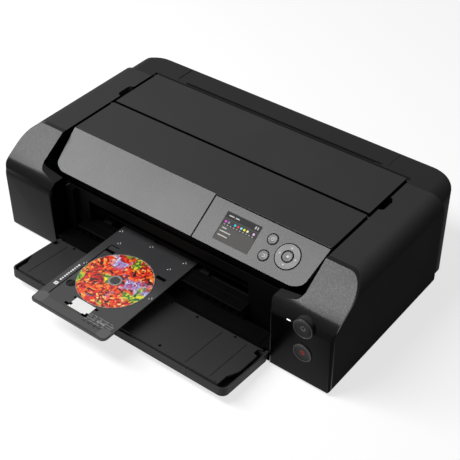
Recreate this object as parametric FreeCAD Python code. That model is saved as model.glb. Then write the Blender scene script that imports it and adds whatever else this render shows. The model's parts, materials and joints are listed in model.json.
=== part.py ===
import FreeCAD, Part
import math
import os

Vector = FreeCAD.Vector
X_AXIS = Vector(1, 0, 0)
Y_AXIS = Vector(0, 1, 0)
Z_AXIS = Vector(0, 0, 1)

# Frame: millimetres, +X to the printer's right as its user sees it, +Y towards the back, +Z up.
# The origin is on the table under the middle of the whole printer with its disc tray out.

# --- Case -------------------------------------------------------------------------------------
CASE_WIDTH = 639.0          # over both towers
CASE_DEPTH = 358.0          # tower front to rear housing
CASE_HEIGHT = 168.0         # without the feet
FOOT_HEIGHT = 3.0
FOOT_RADIUS = 9.0
FOOT_INSET_X = 50.0         # foot centre to the case side
FOOT_INSET_Y = 42.0         # foot centre to the case front and back
WALL = 2.5                  # moulded wall
SEAM = 0.5                  # shadow gap between two mouldings
SLIP = 0.3                  # clearance of a piece that drops into an opening
RUNNING = 0.05              # radial clearance of a shaft in its bearing
SIDE_ROUND = 27.0           # top edge along each side
BOTTOM_ROUND = 12.0         # bottom edge along each side
FRONT_ROUND = 6.0           # upright edges of the tower fronts
FRONT_TOE_ROUND = 4.0       # bottom edge of the tower fronts
TOP_BACK_ROUND = 11.0       # top edge round the back of the rear housing
BACK_TOE_ROUND = 3.0
REAR_CORNER_ROUND = 50.0    # upright rear corners
REAR_HOUSING_DEPTH = 65.0
REAR_STEP = 6.0             # the rear housing is narrower than the towers by this, each side

# --- Tower fronts -----------------------------------------------------------------------------
SLOPE_DEG = 33.0            # fall of the tower chamfers and of the control panel
TOWER_FOLD_DEPTH = 76.4     # tower front to the crease where the chamfer meets the top
CHAMFER_BLEND = 20.0
TOWER_SHELL_REACH = 4.5     # how far the satin front shell wraps round the crease
BAY_HALF = 212.0            # half the gap between the towers
CHANNEL_HALF = 252.5        # half the channel that takes the top cover
POCKET_FLOOR = 124.0        # pocket floor beside the bay, above the case bottom
POCKET_RISE = 7.0           # the floor rises by this across the pocket
POCKET_ROUND = 11.0
POCKET_DEPTH = 29.0         # tower front to the back of the pocket floor
BAY_WALL_TOP = 105.0        # seam in the bay wall, above the case bottom
FRAME_DEPTH = 41.8          # tower front to the front frame

# --- Top cover and control panel --------------------------------------------------------------
COVER_SIDE_GAP = 5.5        # channel wall to the cover's side
COVER_TOE_IN = 9.5          # the panel's lower edge is narrower by this, each side
COVER_FOLD_DEPTH = 98.8
COVER_TOE_DEPTH = 36.8
COVER_LIP_DROP = 20.0       # front lip below the panel's lower edge
COVER_TOE_ROUND = 20.0
COVER_REAR_DEPTH = 193.3
COVER_SKIRT = 12.0
COVER_GAP = 3.0             # seam between the top cover and the rear tray cover
PANEL_THICK = 2.4
PANEL_SPLIT_X = 43.0        # the control panel lies to the right of this
PANEL_WINDOW_INSET = (19.0, 5.5)    # parting line and panel edge to the opening behind the panel
PANEL_WINDOW_SLOPE = (9.0, 66.0)
HINGE_RADIUS = 3.5          # rolled rear edge of both covers
HINGE_PIN_RADIUS = 1.75

# Things on the slope are placed by X and by the distance down it from the cover's crease.
DISPLAY_X = 106.5
DISPLAY_SLOPE = 38.5
DISPLAY_WIDTH = 62.5
DISPLAY_HEIGHT = 46.4
KEY_X = 161.5
MENU_KEY_SLOPE = 24.7
BACK_KEY_SLOPE = 52.0
KEY_RADIUS = 7.8
NAV_X = 195.5
NAV_SLOPE = 38.2
NAV_RADIUS = 19.4
OK_RADIUS = 8.0
KEY_CLEARANCE = 0.4
KEY_HEIGHT = 5.4
KEY_PROUD = 0.3
PANEL_BOARD_DROP = 7.0      # panel surface to the board's top
POST_INSET = 4.0            # opening's edge to the middle of the outer posts
POST_X = 149.0              # middle posts
POST_HALF = 2.0

# --- Rear tray cover and rear housing ---------------------------------------------------------
REAR_COVER_BACK_DEPTH = 303.8
REAR_STRIP_HALF = 208.0
REAR_STRIP_DEPTH = 313.0
REAR_STRIP_DROP = 95.0      # how far the strip comes down the back
NOTCH_FRONT_DEPTH = 212.8
NOTCH_LENGTH = 34.0
NOTCH_REACH = 8.0
NOTCH_DROP = 11.0
GROOVE_X = (-188.0, 198.0)

# --- Front bay --------------------------------------------------------------------------------
LEDGE_TOP = 25.0            # paper ledge, above the case bottom
LEDGE_FRONT_DEPTH = 3.0
LEDGE_BACK_DEPTH = 31.0
LEDGE_RIGHT_X = 195.0
FRAME_THICK = 3.0
FRAME_TOP = 105.0
RECESS_X = (-172.0, 145.0)
RECESS_TOP = 88.0
RECESS_LIP = 10.0
GUIDE_X = (-184.0, 146.0)
GUIDE_FRONT_DEPTH = 22.8
GUIDE_RIDGE_LEAN = 4.5
GUIDE_PITCH = 15.0
FRAME_POST = 16.0
RIM_HEIGHT = 17.0
LEDGE_RIBS = 8

# --- Output tray ------------------------------------------------------------------------------
OUTPUT_TILT_DEG = 5.0
OUTPUT_HALF = 211.5
OUTPUT_SHELL_HEIGHT = 14.0
OUTPUT_PLATE_THICK = 3.5
OUTPUT_PLATE_HALF = 205.7
OUTPUT_PLATE_STEP = 8.0
OUTPUT_PLATE_SETBACK = 3.2
OUTPUT_STEP_LENGTHS = (20.0, 26.0, 40.0)    # front edge to where the plate's side steps out
OUTPUT_BITE_LENGTHS = (4.0, 14.0, 16.0)     # rear edge to the corners of the bite in its side
OUTPUT_HOLES = ((36.0, -5.2), (87.0, -6.7), (157.5, -5.6), (86.0, -91.2), (-168.0, -5.6))
OUTPUT_HOLE_RADIUS = 2.5
OUTPUT_LIP_RISE = 1.2
OUTPUT_CORNER = 11.0
OUTPUT_BASE = 3.2           # underside before it is tilted, above the case bottom
OUTPUT_REAR_DEPTH = -2.2
OUTPUT_FRONT_DEPTH = -102.2
OUTPUT_HINGE_DEPTH = 9.0
OUTPUT_HINGE_HEIGHT = 12.0  # above the case bottom
OUTPUT_PIN_RADIUS = 2.0
OUTPUT_ARM = 5.0
OUTPUT_ARM_ROUND = 4.0
OUTPUT_GROOVES = (136.0, 180.0)
OUTPUT_LIP = (149.0, 193.0)
EXTENSION_HALF = 144.0
EXTENSION_THICK = 3.0
EXTENSION_REAR_DEPTH = -25.0

# --- Disc tray and disc -----------------------------------------------------------------------
DISC_TRAY_X = (-118.5, 31.5)
DISC_TRAY_REACH = 147.7     # how far it stands out of the tower fronts
DISC_TRAY_LENGTH = 290.0
DISC_TRAY_THICK = 3.0
DISC_TRAY_HEIGHT = 47.0     # underside, above the case bottom
DISC_TRAY_CORNER = 9.0
TRAY_TOE_LENGTH = 16.5
TRAY_TOE_STEP = 0.8
DISC_X = -42.0
DISC_DEPTH = -42.5
DISC_RADIUS = 60.0
DISC_THICK = 1.2
DISC_HOLE_RADIUS = 7.5
DISC_SEAT_DEPTH = 1.0
HUB_RISE = 0.9
THUMB_HOLE = (-91.5, -86.2)
THUMB_HOLE_RADIUS = 8.0
TRAY_SLOTS = ((-94.5, 2.8, 16.0, 4.0), (9.8, 2.8, 17.0, 4.0))   # X, depth, width, length
PATCH_PLACE = (-43.0, -114.2)
PATCH_SIZE = (38.0, 21.0)
PATCH_THICK = 0.8

# --- Mechanism --------------------------------------------------------------------------------
SIDE_PLATE_X = 262.0
SIDE_PLATE_FOOT = 14.0
SIDE_PLATE_SHOULDER = 16.0  # above the disc tray's top
SHEET = 1.6
ROLLER_RADIUS = 9.0
ROLLER_GAP = 0.15           # roller to the disc tray
ROLLER_SHAFT_RADIUS = 4.0
FEED_ROLLER_DEPTH = 120.0
EJECT_ROLLER_DEPTH = 62.0
FEED_HALF = 170.0
PINCH_RADIUS = 5.0
STAR_RADIUS = 5.0
GEAR_MODULE = 1.0
FEED_TEETH = 42
IDLER_TEETH = 16
PINION_TEETH = 14
GEAR_WIDTH = 6.0
GEAR_GAP = 1.5              # side plate to the gears
PLATEN_DEPTH = (74.0, 108.0)
CARRIAGE_WIDTH = 96.0
CARRIAGE_PARK_X = 211.0
CARRIAGE_DEPTH = (72.0, 124.0)
CARRIAGE_HEIGHT = 48.0
HOLDER_HEIGHT = 66.0        # beams over the idle rollers, above the table
HEAD_HALF = 30.0
HEAD_GAP = 2.5              # print head to the disc tray's top
RAIL_RADIUS = 5.0
RAIL_DEPTH = 134.0
RAIL_HEIGHT = 84.0          # above the table
BACK_PLATE_DEPTH = 150.0
BACK_PLATE_TOP = 128.0      # above the table
BACK_PLATE_FLANGE = 3.5
STRIP_DEPTH = 127.0
STRIP_HEIGHT = 120.0
STRIP_WIDTH = 10.0
MOTOR_RADIUS = 13.0
MOTOR_LENGTH = 26.0
MOTOR_SHAFT_RADIUS = 1.6
MOTOR_BORE = 10.0           # depth of the shaft's bearing
IDLER_STUB_RADIUS = 2.5
PLATEN_RIBS = 16
EJECT_COUNT = 4
EJECT_SPAN = 150.0
STAR_POINTS = 8
STAR_ROOT = 0.7             # share of the tip's radius
STAR_WIDTH = 1.5
EJECT_WIDTH = 16.0
PINCH_COUNT = 4
PINCH_MARGIN = 18.0         # outer eject roller's middle to the end of the idle shafts
PINCH_WIDTH = 45.0
PINCH_SHAFT_RADIUS = 1.5
EAR = 3.0                   # thickness and half width of the idle shafts' ears
PULLEY_RADIUS = 8.0
PULLEY_X = 248.0
BELT_DEPTH = 142.6
BELT_HEIGHT = 112.0
BELT_WIDTH = 4.0
BELT_THICK = 1.2
INK_COUNT = 10

# --- Rear feed --------------------------------------------------------------------------------
FEED_PLATE_TOE = (186.0, 60.0)      # depth and height of the feed plate's lower edge
FEED_PLATE_TOP = (262.0, 158.0)
FEED_PLATE_MARGIN = 21.0    # paper guide at its widest to the feed frame's cheek
PICK_RADIUS = 14.0
PICK_SHARE = 0.42
PICK_X = 60.0
PICK_SHAFT_RADIUS = 3.0
PAPER_HALF = 165.0
PAPER_GUIDE_FROM = 57.0
PAPER_GUIDE_END = 14.0      # guide's upper end to the feed plate's top
PAPER_GUIDE_RISE = 26.0
PAPER_GUIDE_WALL = 3.0
PAPER_GUIDE_FOOT = 16.0
PAPER_GUIDE_RIB = 8.0       # rib's top below the guide's top, and its middle to the guide's end
GUIDE_TRAVEL = 60.0

# --- Buttons and sockets ----------------------------------------------------------------------
POWER_KEY_X = 271.5
POWER_KEY_HEIGHT = 105.3    # above the case bottom
STOP_KEY_X = 271.0
STOP_KEY_HEIGHT = 57.0
POWER_KEY_RADIUS = 16.7
STOP_KEY_RADIUS = 15.8
TOWER_KEY_PROUD = 0.3
TOWER_KEY_DEPTH = 12.0
KEY_BRACKET_DEPTH = 14.0
KEY_BRACKET_X = (248.0, 295.0)
KEY_STEM_RADIUS = 3.0
LED_X = 245.5
LED_HEIGHT = 104.5
LED_SIZE = (6.0, 1.6)
INLET_X = 236.0
INLET_HEIGHT = 40.0
INLET_SIZE = (24.0, 17.0)
INLET_DEPTH = 18.0
INLET_WELL = 13.0
INLET_PITCH = 7.0
INLET_LOBE = 4.2
PORT_HEIGHT = 46.0
PORT_DEPTH = 14.0
PORTS = ((-224.0, 12.0, 11.0), (-250.0, 16.0, 13.5))    # X, width, height

# --- Boards -----------------------------------------------------------------------------------
SUPPLY_DEPTH = 172.0        # tower front to the power supply
SUPPLY_SIZE = (32.0, 94.0, 80.0)
SUPPLY_SLOTS = 6
BOARD_OFFSET = 36.0         # side plate to the main board
BOARD_DEPTH = (60.0, 230.0)
BOARD_HEIGHT = 105.0
# Depth, height, width, tall and thick of the chips and sockets on the main board.
BOARD_PARTS = ((80.0, 60.0, 24.0, 24.0, 2.0), (120.0, 70.0, 16.0, 12.0, 2.0), (150.0, 40.0, 30.0, 8.0, 6.0),
               (190.0, 70.0, 24.0, 10.0, 7.0), (120.0, 30.0, 18.0, 18.0, 2.0))

# --- Fasteners --------------------------------------------------------------------------------
SCREW_X = 292.0
SCREW_DEPTHS = (28.0, 272.0)
SCREW_RADIUS = 1.5
SCREW_LENGTH = 8.0

# --- Derived levels and places ----------------------------------------------------------------
HALF = CASE_WIDTH / 2
BOTTOM = FOOT_HEIGHT
TOP = FOOT_HEIGHT + CASE_HEIGHT
FRONT_Y = (DISC_TRAY_REACH - CASE_DEPTH) / 2
SLOPE = math.radians(SLOPE_DEG)
COVER_HALF = CHANNEL_HALF - COVER_SIDE_GAP
COVER_TOE_HALF = COVER_HALF - COVER_TOE_IN
PANEL_WINDOW_X = (PANEL_SPLIT_X + PANEL_WINDOW_INSET[0], COVER_TOE_HALF - PANEL_WINDOW_INSET[1])
PINCH_SPAN = EJECT_SPAN + PINCH_MARGIN
FEED_PLATE_HALF = PAPER_HALF + FEED_PLATE_MARGIN
TRAY_BASE = BOTTOM + DISC_TRAY_HEIGHT
TRAY_TOP = TRAY_BASE + DISC_TRAY_THICK
ROLLER_HEIGHT = TRAY_BASE - ROLLER_GAP - ROLLER_RADIUS
PANEL_TOE_HEIGHT = TOP - (COVER_FOLD_DEPTH - COVER_TOE_DEPTH) * math.tan(SLOPE)
GUIDE_TOP = TRAY_BASE - 1.0


def at(depth):
    """Y of a place that lies this far behind the tower fronts."""
    return FRONT_Y + depth


def box(x0, x1, y0, y1, z0, z1):
    """Block between two corners."""
    return Part.makeBox(x1 - x0, y1 - y0, z1 - z0, Vector(x0, y0, z0))


def outline(corners, place):
    """Closed wire through (a, b, radius) corners, which place(a, b) puts in space."""
    arcs = []
    for i, (a, b, radius) in enumerate(corners):
        here = Vector(a, b, 0)
        before = Vector(corners[i - 1][0], corners[i - 1][1], 0) - here
        after_corner = corners[(i + 1) % len(corners)]
        after = Vector(after_corner[0], after_corner[1], 0) - here
        if radius <= 0:
            arcs.append((here, None, here))
            continue
        before.normalize()
        after.normalize()
        half_angle = before.getAngle(after) / 2
        reach = radius / math.tan(half_angle)
        bisector = before + after
        bisector.normalize()
        middle = here + bisector * (radius / math.sin(half_angle) - radius)
        arcs.append((here + before * reach, middle, here + after * reach))
    edges = []
    for i, (start, middle, end) in enumerate(arcs):
        if middle is not None:
            arc = Part.Arc(place(start.x, start.y), place(middle.x, middle.y), place(end.x, end.y))
            edges.append(arc.toShape())
        following = arcs[(i + 1) % len(arcs)][0]
        if (following - end).Length > 1e-6:
            edges.append(Part.makeLine(place(end.x, end.y), place(following.x, following.y)))
    return Part.Wire(edges)


def prism_x(corners, x0, x1):
    """Solid with a (Y, Z) outline between two X planes."""
    wire = outline(corners, lambda a, b: Vector(x0, a, b))
    return Part.Face(wire).extrude(Vector(x1 - x0, 0, 0))


def prism_y(corners, y0, y1):
    """Solid with an (X, Z) outline between two Y planes."""
    wire = outline(corners, lambda a, b: Vector(a, y0, b))
    return Part.Face(wire).extrude(Vector(0, y1 - y0, 0))


def prism_z(corners, z0, z1):
    """Solid with an (X, Y) outline between two Z planes."""
    wire = outline(corners, lambda a, b: Vector(a, b, z0))
    return Part.Face(wire).extrude(Vector(0, 0, z1 - z0))


def rod_x(x0, x1, y, z, radius):
    """Round bar along X."""
    return Part.makeCylinder(radius, x1 - x0, Vector(x0, y, z), X_AXIS)


def rod_y(x, y0, y1, z, radius):
    """Round bar along Y."""
    return Part.makeCylinder(radius, y1 - y0, Vector(x, y0, z), Y_AXIS)


def rod_z(x, y, z0, z1, radius):
    """Round bar along Z."""
    return Part.makeCylinder(radius, z1 - z0, Vector(x, y, z0), Z_AXIS)


def joined(shapes):
    """One solid from touching or overlapping ones."""
    result = shapes[0]
    for shape in shapes[1:]:
        result = result.fuse(shape)
    return result.removeSplitter()


def group(shapes):
    """Several separate solids in one node."""
    return Part.makeCompound(shapes)


def mirrored(shape):
    """Copy on the other side of the printer."""
    return shape.mirror(Vector(0, 0, 0), X_AXIS)


# --- Outer form -------------------------------------------------------------------------------

def side_profile(inset, fold_depth, front_depth, back_depth):
    """(Y, Z) outline of the case, drawn in by inset; its front chamfer starts at fold_depth."""
    front = at(front_depth) + inset
    fold = at(fold_depth) + inset * math.tan(SLOPE / 2)
    toe = TOP - inset - (fold - front) * math.tan(SLOPE)
    back = at(back_depth) - inset
    return [
        (front, BOTTOM + inset, max(FRONT_TOE_ROUND - inset, 0)),
        (front, toe, CHAMFER_BLEND - inset),
        (fold, TOP - inset, 0),
        (back, TOP - inset, 0),
        (back, BOTTOM + inset, 0),
    ]


def cross_section(inset, half):
    """(X, Z) outline of the case, drawn in by inset, for a case of this half width."""
    edge = half - inset
    return [
        (-edge, BOTTOM + inset, BOTTOM_ROUND - inset),
        (-edge, TOP - inset, SIDE_ROUND - inset),
        (edge, TOP - inset, SIDE_ROUND - inset),
        (edge, BOTTOM + inset, BOTTOM_ROUND - inset),
    ]


def case_form(inset):
    """Outer form of the towers and the case between them, up to the rear housing."""
    rear = CASE_DEPTH - REAR_HOUSING_DEPTH
    profile = prism_x(side_profile(inset, TOWER_FOLD_DEPTH, 0, CASE_DEPTH), -HALF, HALF)
    section = prism_y(cross_section(inset, HALF), at(0), at(rear))
    return profile.common(section)


def rear_plan(inset, z0, z1):
    """Upright block with the rear housing's plan, drawn in by inset, and its rounded rear corners."""
    edge = HALF - REAR_STEP - inset
    start = at(CASE_DEPTH - REAR_HOUSING_DEPTH)
    back = at(CASE_DEPTH) - inset
    corner = REAR_CORNER_ROUND - inset
    return prism_z([(-edge, start, 0), (edge, start, 0), (edge, back, corner), (-edge, back, corner)], z0, z1)


def rear_form(inset):
    """Outer form of the rear housing: the top edge is rounded along the back and round both corners."""
    start = at(CASE_DEPTH - REAR_HOUSING_DEPTH)
    back = at(CASE_DEPTH) - inset
    top = TOP - inset
    block = rear_plan(inset, BOTTOM, top)
    edges = [edge for edge in block.Edges
             if edge.BoundBox.ZMin > top - 0.01 and edge.BoundBox.YMax > start + 0.01]
    block = block.makeFillet(TOP_BACK_ROUND - inset, edges)
    toe = prism_x([(start, BOTTOM + inset, 0), (back, BOTTOM + inset, max(BACK_TOE_ROUND - inset, 0)),
                   (back, TOP + 1, 0), (start, TOP + 1, 0)], -HALF, HALF)
    section = prism_y(cross_section(inset, HALF - REAR_STEP), start, back)
    return block.common(toe).common(section)


def pocket_form(grow, front, back):
    """Space cut into the right tower beside the cover: floor, round and upright wall."""
    inner = BAY_HALF - 1
    outer = CHANNEL_HALF + grow
    floor = BOTTOM + POCKET_FLOOR - grow
    return prism_y([(inner, floor, 0), (outer, floor + POCKET_RISE, POCKET_ROUND + grow),
                    (outer, TOP + 1, 0), (inner, TOP + 1, 0)], front, back)


def notch_form(grow):
    """Finger notch in the right-hand top edge, beside the rear tray cover."""
    front = at(NOTCH_FRONT_DEPTH) - grow
    back = at(NOTCH_FRONT_DEPTH + NOTCH_LENGTH) + grow
    outer = CHANNEL_HALF + NOTCH_REACH + grow
    return prism_z([(CHANNEL_HALF - 1, front, 0), (outer, front, NOTCH_REACH),
                    (outer, back, NOTCH_REACH), (CHANNEL_HALF - 1, back, 0)],
                   TOP - NOTCH_DROP - grow, TOP + 1)


def right_tower_outer():
    """Right tower and side as a solid block, with the upright edges of its front rounded."""
    rear = CASE_DEPTH - REAR_HOUSING_DEPTH
    plan = prism_z([(BAY_HALF, at(0), FRONT_ROUND), (HALF, at(0), FRONT_ROUND),
                    (HALF, at(rear), 0), (BAY_HALF, at(rear), 0)], BOTTOM, TOP)
    return case_form(0).common(plan)


def side_end_wall():
    """Wall that closes the right side's rear end round the narrower rear housing."""
    rear = CASE_DEPTH - REAR_HOUSING_DEPTH
    y0, y1 = at(rear - SEAM - WALL), at(rear - SEAM)
    wall = prism_y(cross_section(0, HALF), y0, y1)
    wall = wall.cut(prism_y(cross_section(WALL, HALF - REAR_STEP), y0 - 1, y1 + 1))
    return wall.common(box(CHANNEL_HALF + WALL, HALF, y0, y1, BOTTOM, TOP))


def right_side_shell():
    """Thin-walled right tower and side, open below and behind, with its pocket and notch."""
    rear = CASE_DEPTH - REAR_HOUSING_DEPTH
    outer = right_tower_outer()
    outer = outer.cut(pocket_form(0, at(0) - 1, at(rear) + 1)).cut(notch_form(0))
    inner = case_form(WALL).common(box(BAY_HALF + WALL, HALF, at(0), at(rear), BOTTOM, TOP))
    inner = inner.cut(pocket_form(WALL, at(0) - 1, at(rear) + 1)).cut(notch_form(WALL))
    sill = HALF - BOTTOM_ROUND
    floor = box(BAY_HALF + WALL, sill, at(WALL + FRONT_TOE_ROUND), at(rear), BOTTOM - 1, BOTTOM + WALL * 2)
    shell = outer.cut(inner).fuse(side_end_wall()).cut(floor)
    shell = shell.cut(box(BAY_HALF - 1, BAY_HALF + WALL, at(WALL + FRONT_TOE_ROUND), at(rear), BOTTOM - 1,
                          BOTTOM + WALL))
    mouth = box(BAY_HALF - 1, CHANNEL_HALF, at(POCKET_DEPTH), at(rear) + 1, BOTTOM + BAY_WALL_TOP, TOP)
    inside = box(BAY_HALF - 1, CHANNEL_HALF, at(FRAME_DEPTH), at(rear) + 1, BOTTOM - 1, TOP)
    return shell.cut(mouth).cut(inside)


def front_shell_region(reach):
    """Everything in front of a surface that lies this far inside the tower's face and chamfer."""
    behind = side_profile(reach, TOWER_FOLD_DEPTH, 0, CASE_DEPTH)
    kept = list(behind)
    kept[0] = (kept[0][0], BOTTOM - 2, 0)
    slope_run = 20.0
    kept[2] = (kept[2][0] + slope_run, kept[2][1] + slope_run * math.tan(SLOPE), 0)
    kept[3] = (kept[3][0] + slope_run, kept[2][1], 0)
    kept[4] = (kept[4][0] + slope_run, BOTTOM - 2, 0)
    whole = box(0, HALF + 1, at(-1), at(CASE_DEPTH), BOTTOM - 1, TOP + 1)
    return whole.cut(prism_x(kept, -1, HALF + 2))


def pocket_region(gap):
    """Block round the pocket, which belongs to the tower's front shell."""
    return box(BAY_HALF - 1, CHANNEL_HALF + WALL * 2 - gap, at(-1), at(POCKET_DEPTH + 2),
               BOTTOM + BAY_WALL_TOP + gap, BOTTOM + POCKET_FLOOR + POCKET_RISE + POCKET_ROUND - gap)


def tower_key_hole(x, height, radius):
    """Round hole through the tower front."""
    return rod_y(x, at(-2), at(30), BOTTOM + height, radius)


def led_slot(grow):
    """Slot for the power lamp's lens."""
    width, height = LED_SIZE
    z = BOTTOM + LED_HEIGHT
    return box(LED_X - width / 2 - grow, LED_X + width / 2 + grow, at(-0.0), at(6),
               z - height / 2 - grow, z + height / 2 + grow)


def tower_covers(shell):
    """Satin front shells: face, chamfer and pocket."""
    region = front_shell_region(TOWER_SHELL_REACH).fuse(pocket_region(0))
    plain = shell.common(region)
    right = plain.cut(tower_key_hole(POWER_KEY_X, POWER_KEY_HEIGHT, POWER_KEY_RADIUS + SLIP))
    right = right.cut(tower_key_hole(STOP_KEY_X, STOP_KEY_HEIGHT, STOP_KEY_RADIUS + SLIP))
    right = right.cut(led_slot(SLIP / 2))
    return mirrored(plain), right


def hinge_hole(depth):
    """Bore in the channel wall for a cover's stub pin."""
    return rod_x(CHANNEL_HALF - 1, CHANNEL_HALF + WALL + 1, at(depth - HINGE_RADIUS), TOP - HINGE_RADIUS,
                 HINGE_PIN_RADIUS + RUNNING)


def side_covers(shell):
    """Matte side covers: top edge, side wall and channel wall."""
    region = front_shell_region(TOWER_SHELL_REACH + SEAM).fuse(pocket_region(-SEAM))
    right = shell.cut(region).cut(hinge_hole(COVER_REAR_DEPTH)).cut(output_hinge_hole())
    rear = CASE_DEPTH - REAR_HOUSING_DEPTH
    right = right.cut(box(0, HALF, at(rear - SEAM), at(rear + 1), 0, TOP + 1))
    right = max(right.Solids, key=lambda solid: solid.Volume)
    return mirrored(right), right


def output_hinge_hole():
    """Bore in the bay wall for the output tray's pin."""
    return rod_x(BAY_HALF - 1, BAY_HALF + WALL + 1, at(OUTPUT_HINGE_DEPTH),
                 BOTTOM + OUTPUT_HINGE_HEIGHT, OUTPUT_PIN_RADIUS + RUNNING)


# --- Rear housing -----------------------------------------------------------------------------

def socket_opening(x, z, width, height):
    """Rectangular opening through the back wall."""
    return box(x - width / 2, x + width / 2, at(CASE_DEPTH - 2 * WALL - TOP_BACK_ROUND), at(CASE_DEPTH + 1),
               z - height / 2, z + height / 2)


def strip_region(grow):
    """Block that holds the removable strip at the back."""
    return box(-REAR_STRIP_HALF - grow, REAR_STRIP_HALF + grow, at(REAR_STRIP_DEPTH) - grow,
               at(CASE_DEPTH + 1), TOP - REAR_STRIP_DROP - grow, TOP + 1)


def rear_shell():
    """Rear housing as a thin wall, open below and in front."""
    start = CASE_DEPTH - REAR_HOUSING_DEPTH
    inner = rear_form(WALL)
    mouth = box(-HALF + REAR_STEP + SIDE_ROUND, HALF - REAR_STEP - SIDE_ROUND, at(start - 1),
                at(start + WALL), BOTTOM + WALL, TOP - WALL)
    sill = HALF - REAR_STEP - BOTTOM_ROUND
    back = at(CASE_DEPTH - WALL - BACK_TOE_ROUND)
    corner = REAR_CORNER_ROUND - BOTTOM_ROUND
    floor = prism_z([(-sill, at(start - 1), 0), (sill, at(start - 1), 0), (sill, back, corner),
                     (-sill, back, corner)], BOTTOM - 1, BOTTOM + 2 * WALL)
    return rear_form(0).cut(inner).cut(mouth).cut(floor)


def rear_housing(shell):
    """Rear housing with the end of the cover channel, its groove and the socket openings."""
    start = CASE_DEPTH - REAR_HOUSING_DEPTH
    end = REAR_COVER_BACK_DEPTH + COVER_GAP - SEAM
    deep = TOP - COVER_SKIRT - WALL
    liner = box(-CHANNEL_HALF - WALL, CHANNEL_HALF + WALL, at(start), at(end + WALL), deep, TOP)
    liner = liner.cut(box(-CHANNEL_HALF, CHANNEL_HALF, at(start - 1), at(end), deep - 1, TOP + 1))
    body = shell.cut(box(-CHANNEL_HALF, CHANNEL_HALF, at(start - 1), at(end), deep, TOP + 1))
    body = body.fuse(liner.common(rear_form(0)))
    body = body.cut(strip_region(SEAM))
    groove = box(GROOVE_X[0], GROOVE_X[1], at(end + WALL), at(REAR_STRIP_DEPTH), TOP - WALL - 1, TOP + 1)
    body = body.cut(groove)
    for side in (1, -1):
        hole = hinge_hole(REAR_COVER_BACK_DEPTH)
        body = body.cut(hole if side > 0 else mirrored(hole))
    body = body.cut(socket_opening(INLET_X, INLET_HEIGHT, INLET_SIZE[0] + 2 * SLIP, INLET_SIZE[1] + 2 * SLIP))
    for x, width, height in PORTS:
        body = body.cut(socket_opening(x, PORT_HEIGHT, width + 2 * SLIP, height + 2 * SLIP))
    return max(body.Solids, key=lambda solid: solid.Volume)


def rear_strip(shell):
    """Removable strip over the top back edge."""
    return shell.common(strip_region(0))


def inlet_socket():
    """Two-pin power inlet set in the back wall."""
    width, height = INLET_SIZE
    back = at(CASE_DEPTH) - SLIP
    body = prism_y([(INLET_X - width / 2, INLET_HEIGHT - height / 2, 1),
                    (INLET_X + width / 2, INLET_HEIGHT - height / 2, 1),
                    (INLET_X + width / 2, INLET_HEIGHT + height / 2, 1),
                    (INLET_X - width / 2, INLET_HEIGHT + height / 2, 1)], back - INLET_DEPTH, back)
    lobes = [rod_y(INLET_X + side * INLET_PITCH / 2, back - INLET_WELL, back + 1, INLET_HEIGHT, INLET_LOBE)
             for side in (-1, 1)]
    bridge = box(INLET_X - INLET_PITCH / 2, INLET_X + INLET_PITCH / 2, back - INLET_WELL, back + 1,
                 INLET_HEIGHT - INLET_LOBE * 0.8, INLET_HEIGHT + INLET_LOBE * 0.8)
    pins = [rod_y(INLET_X + side * INLET_PITCH / 2, back - INLET_WELL - 1, back - 3, INLET_HEIGHT, 1.2)
            for side in (-1, 1)]
    body = body.cut(joined(lobes + [bridge]))
    return joined([body] + pins)


def rear_ports():
    """Data sockets in the back wall."""
    back = at(CASE_DEPTH) - SLIP
    sockets = []
    for x, width, height in PORTS:
        shell = box(x - width / 2, x + width / 2, back - PORT_DEPTH, back,
                    PORT_HEIGHT - height / 2, PORT_HEIGHT + height / 2)
        well = box(x - width / 2 + 1, x + width / 2 - 1, back - PORT_DEPTH + 2, back + 1,
                   PORT_HEIGHT - height / 2 + 1, PORT_HEIGHT + height / 2 - 1)
        tongue = box(x - width / 4, x + width / 4, back - PORT_DEPTH + 1, back - 4,
                     PORT_HEIGHT - 1, PORT_HEIGHT + 1)
        sockets.append(joined([shell.cut(well), tongue]))
    return group(sockets)


# --- Base -------------------------------------------------------------------------------------

def screw_places():
    """X and Y of the screws through the base."""
    for side in (-1, 1):
        for depth in SCREW_DEPTHS:
            yield side * SCREW_X, at(depth)


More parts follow.
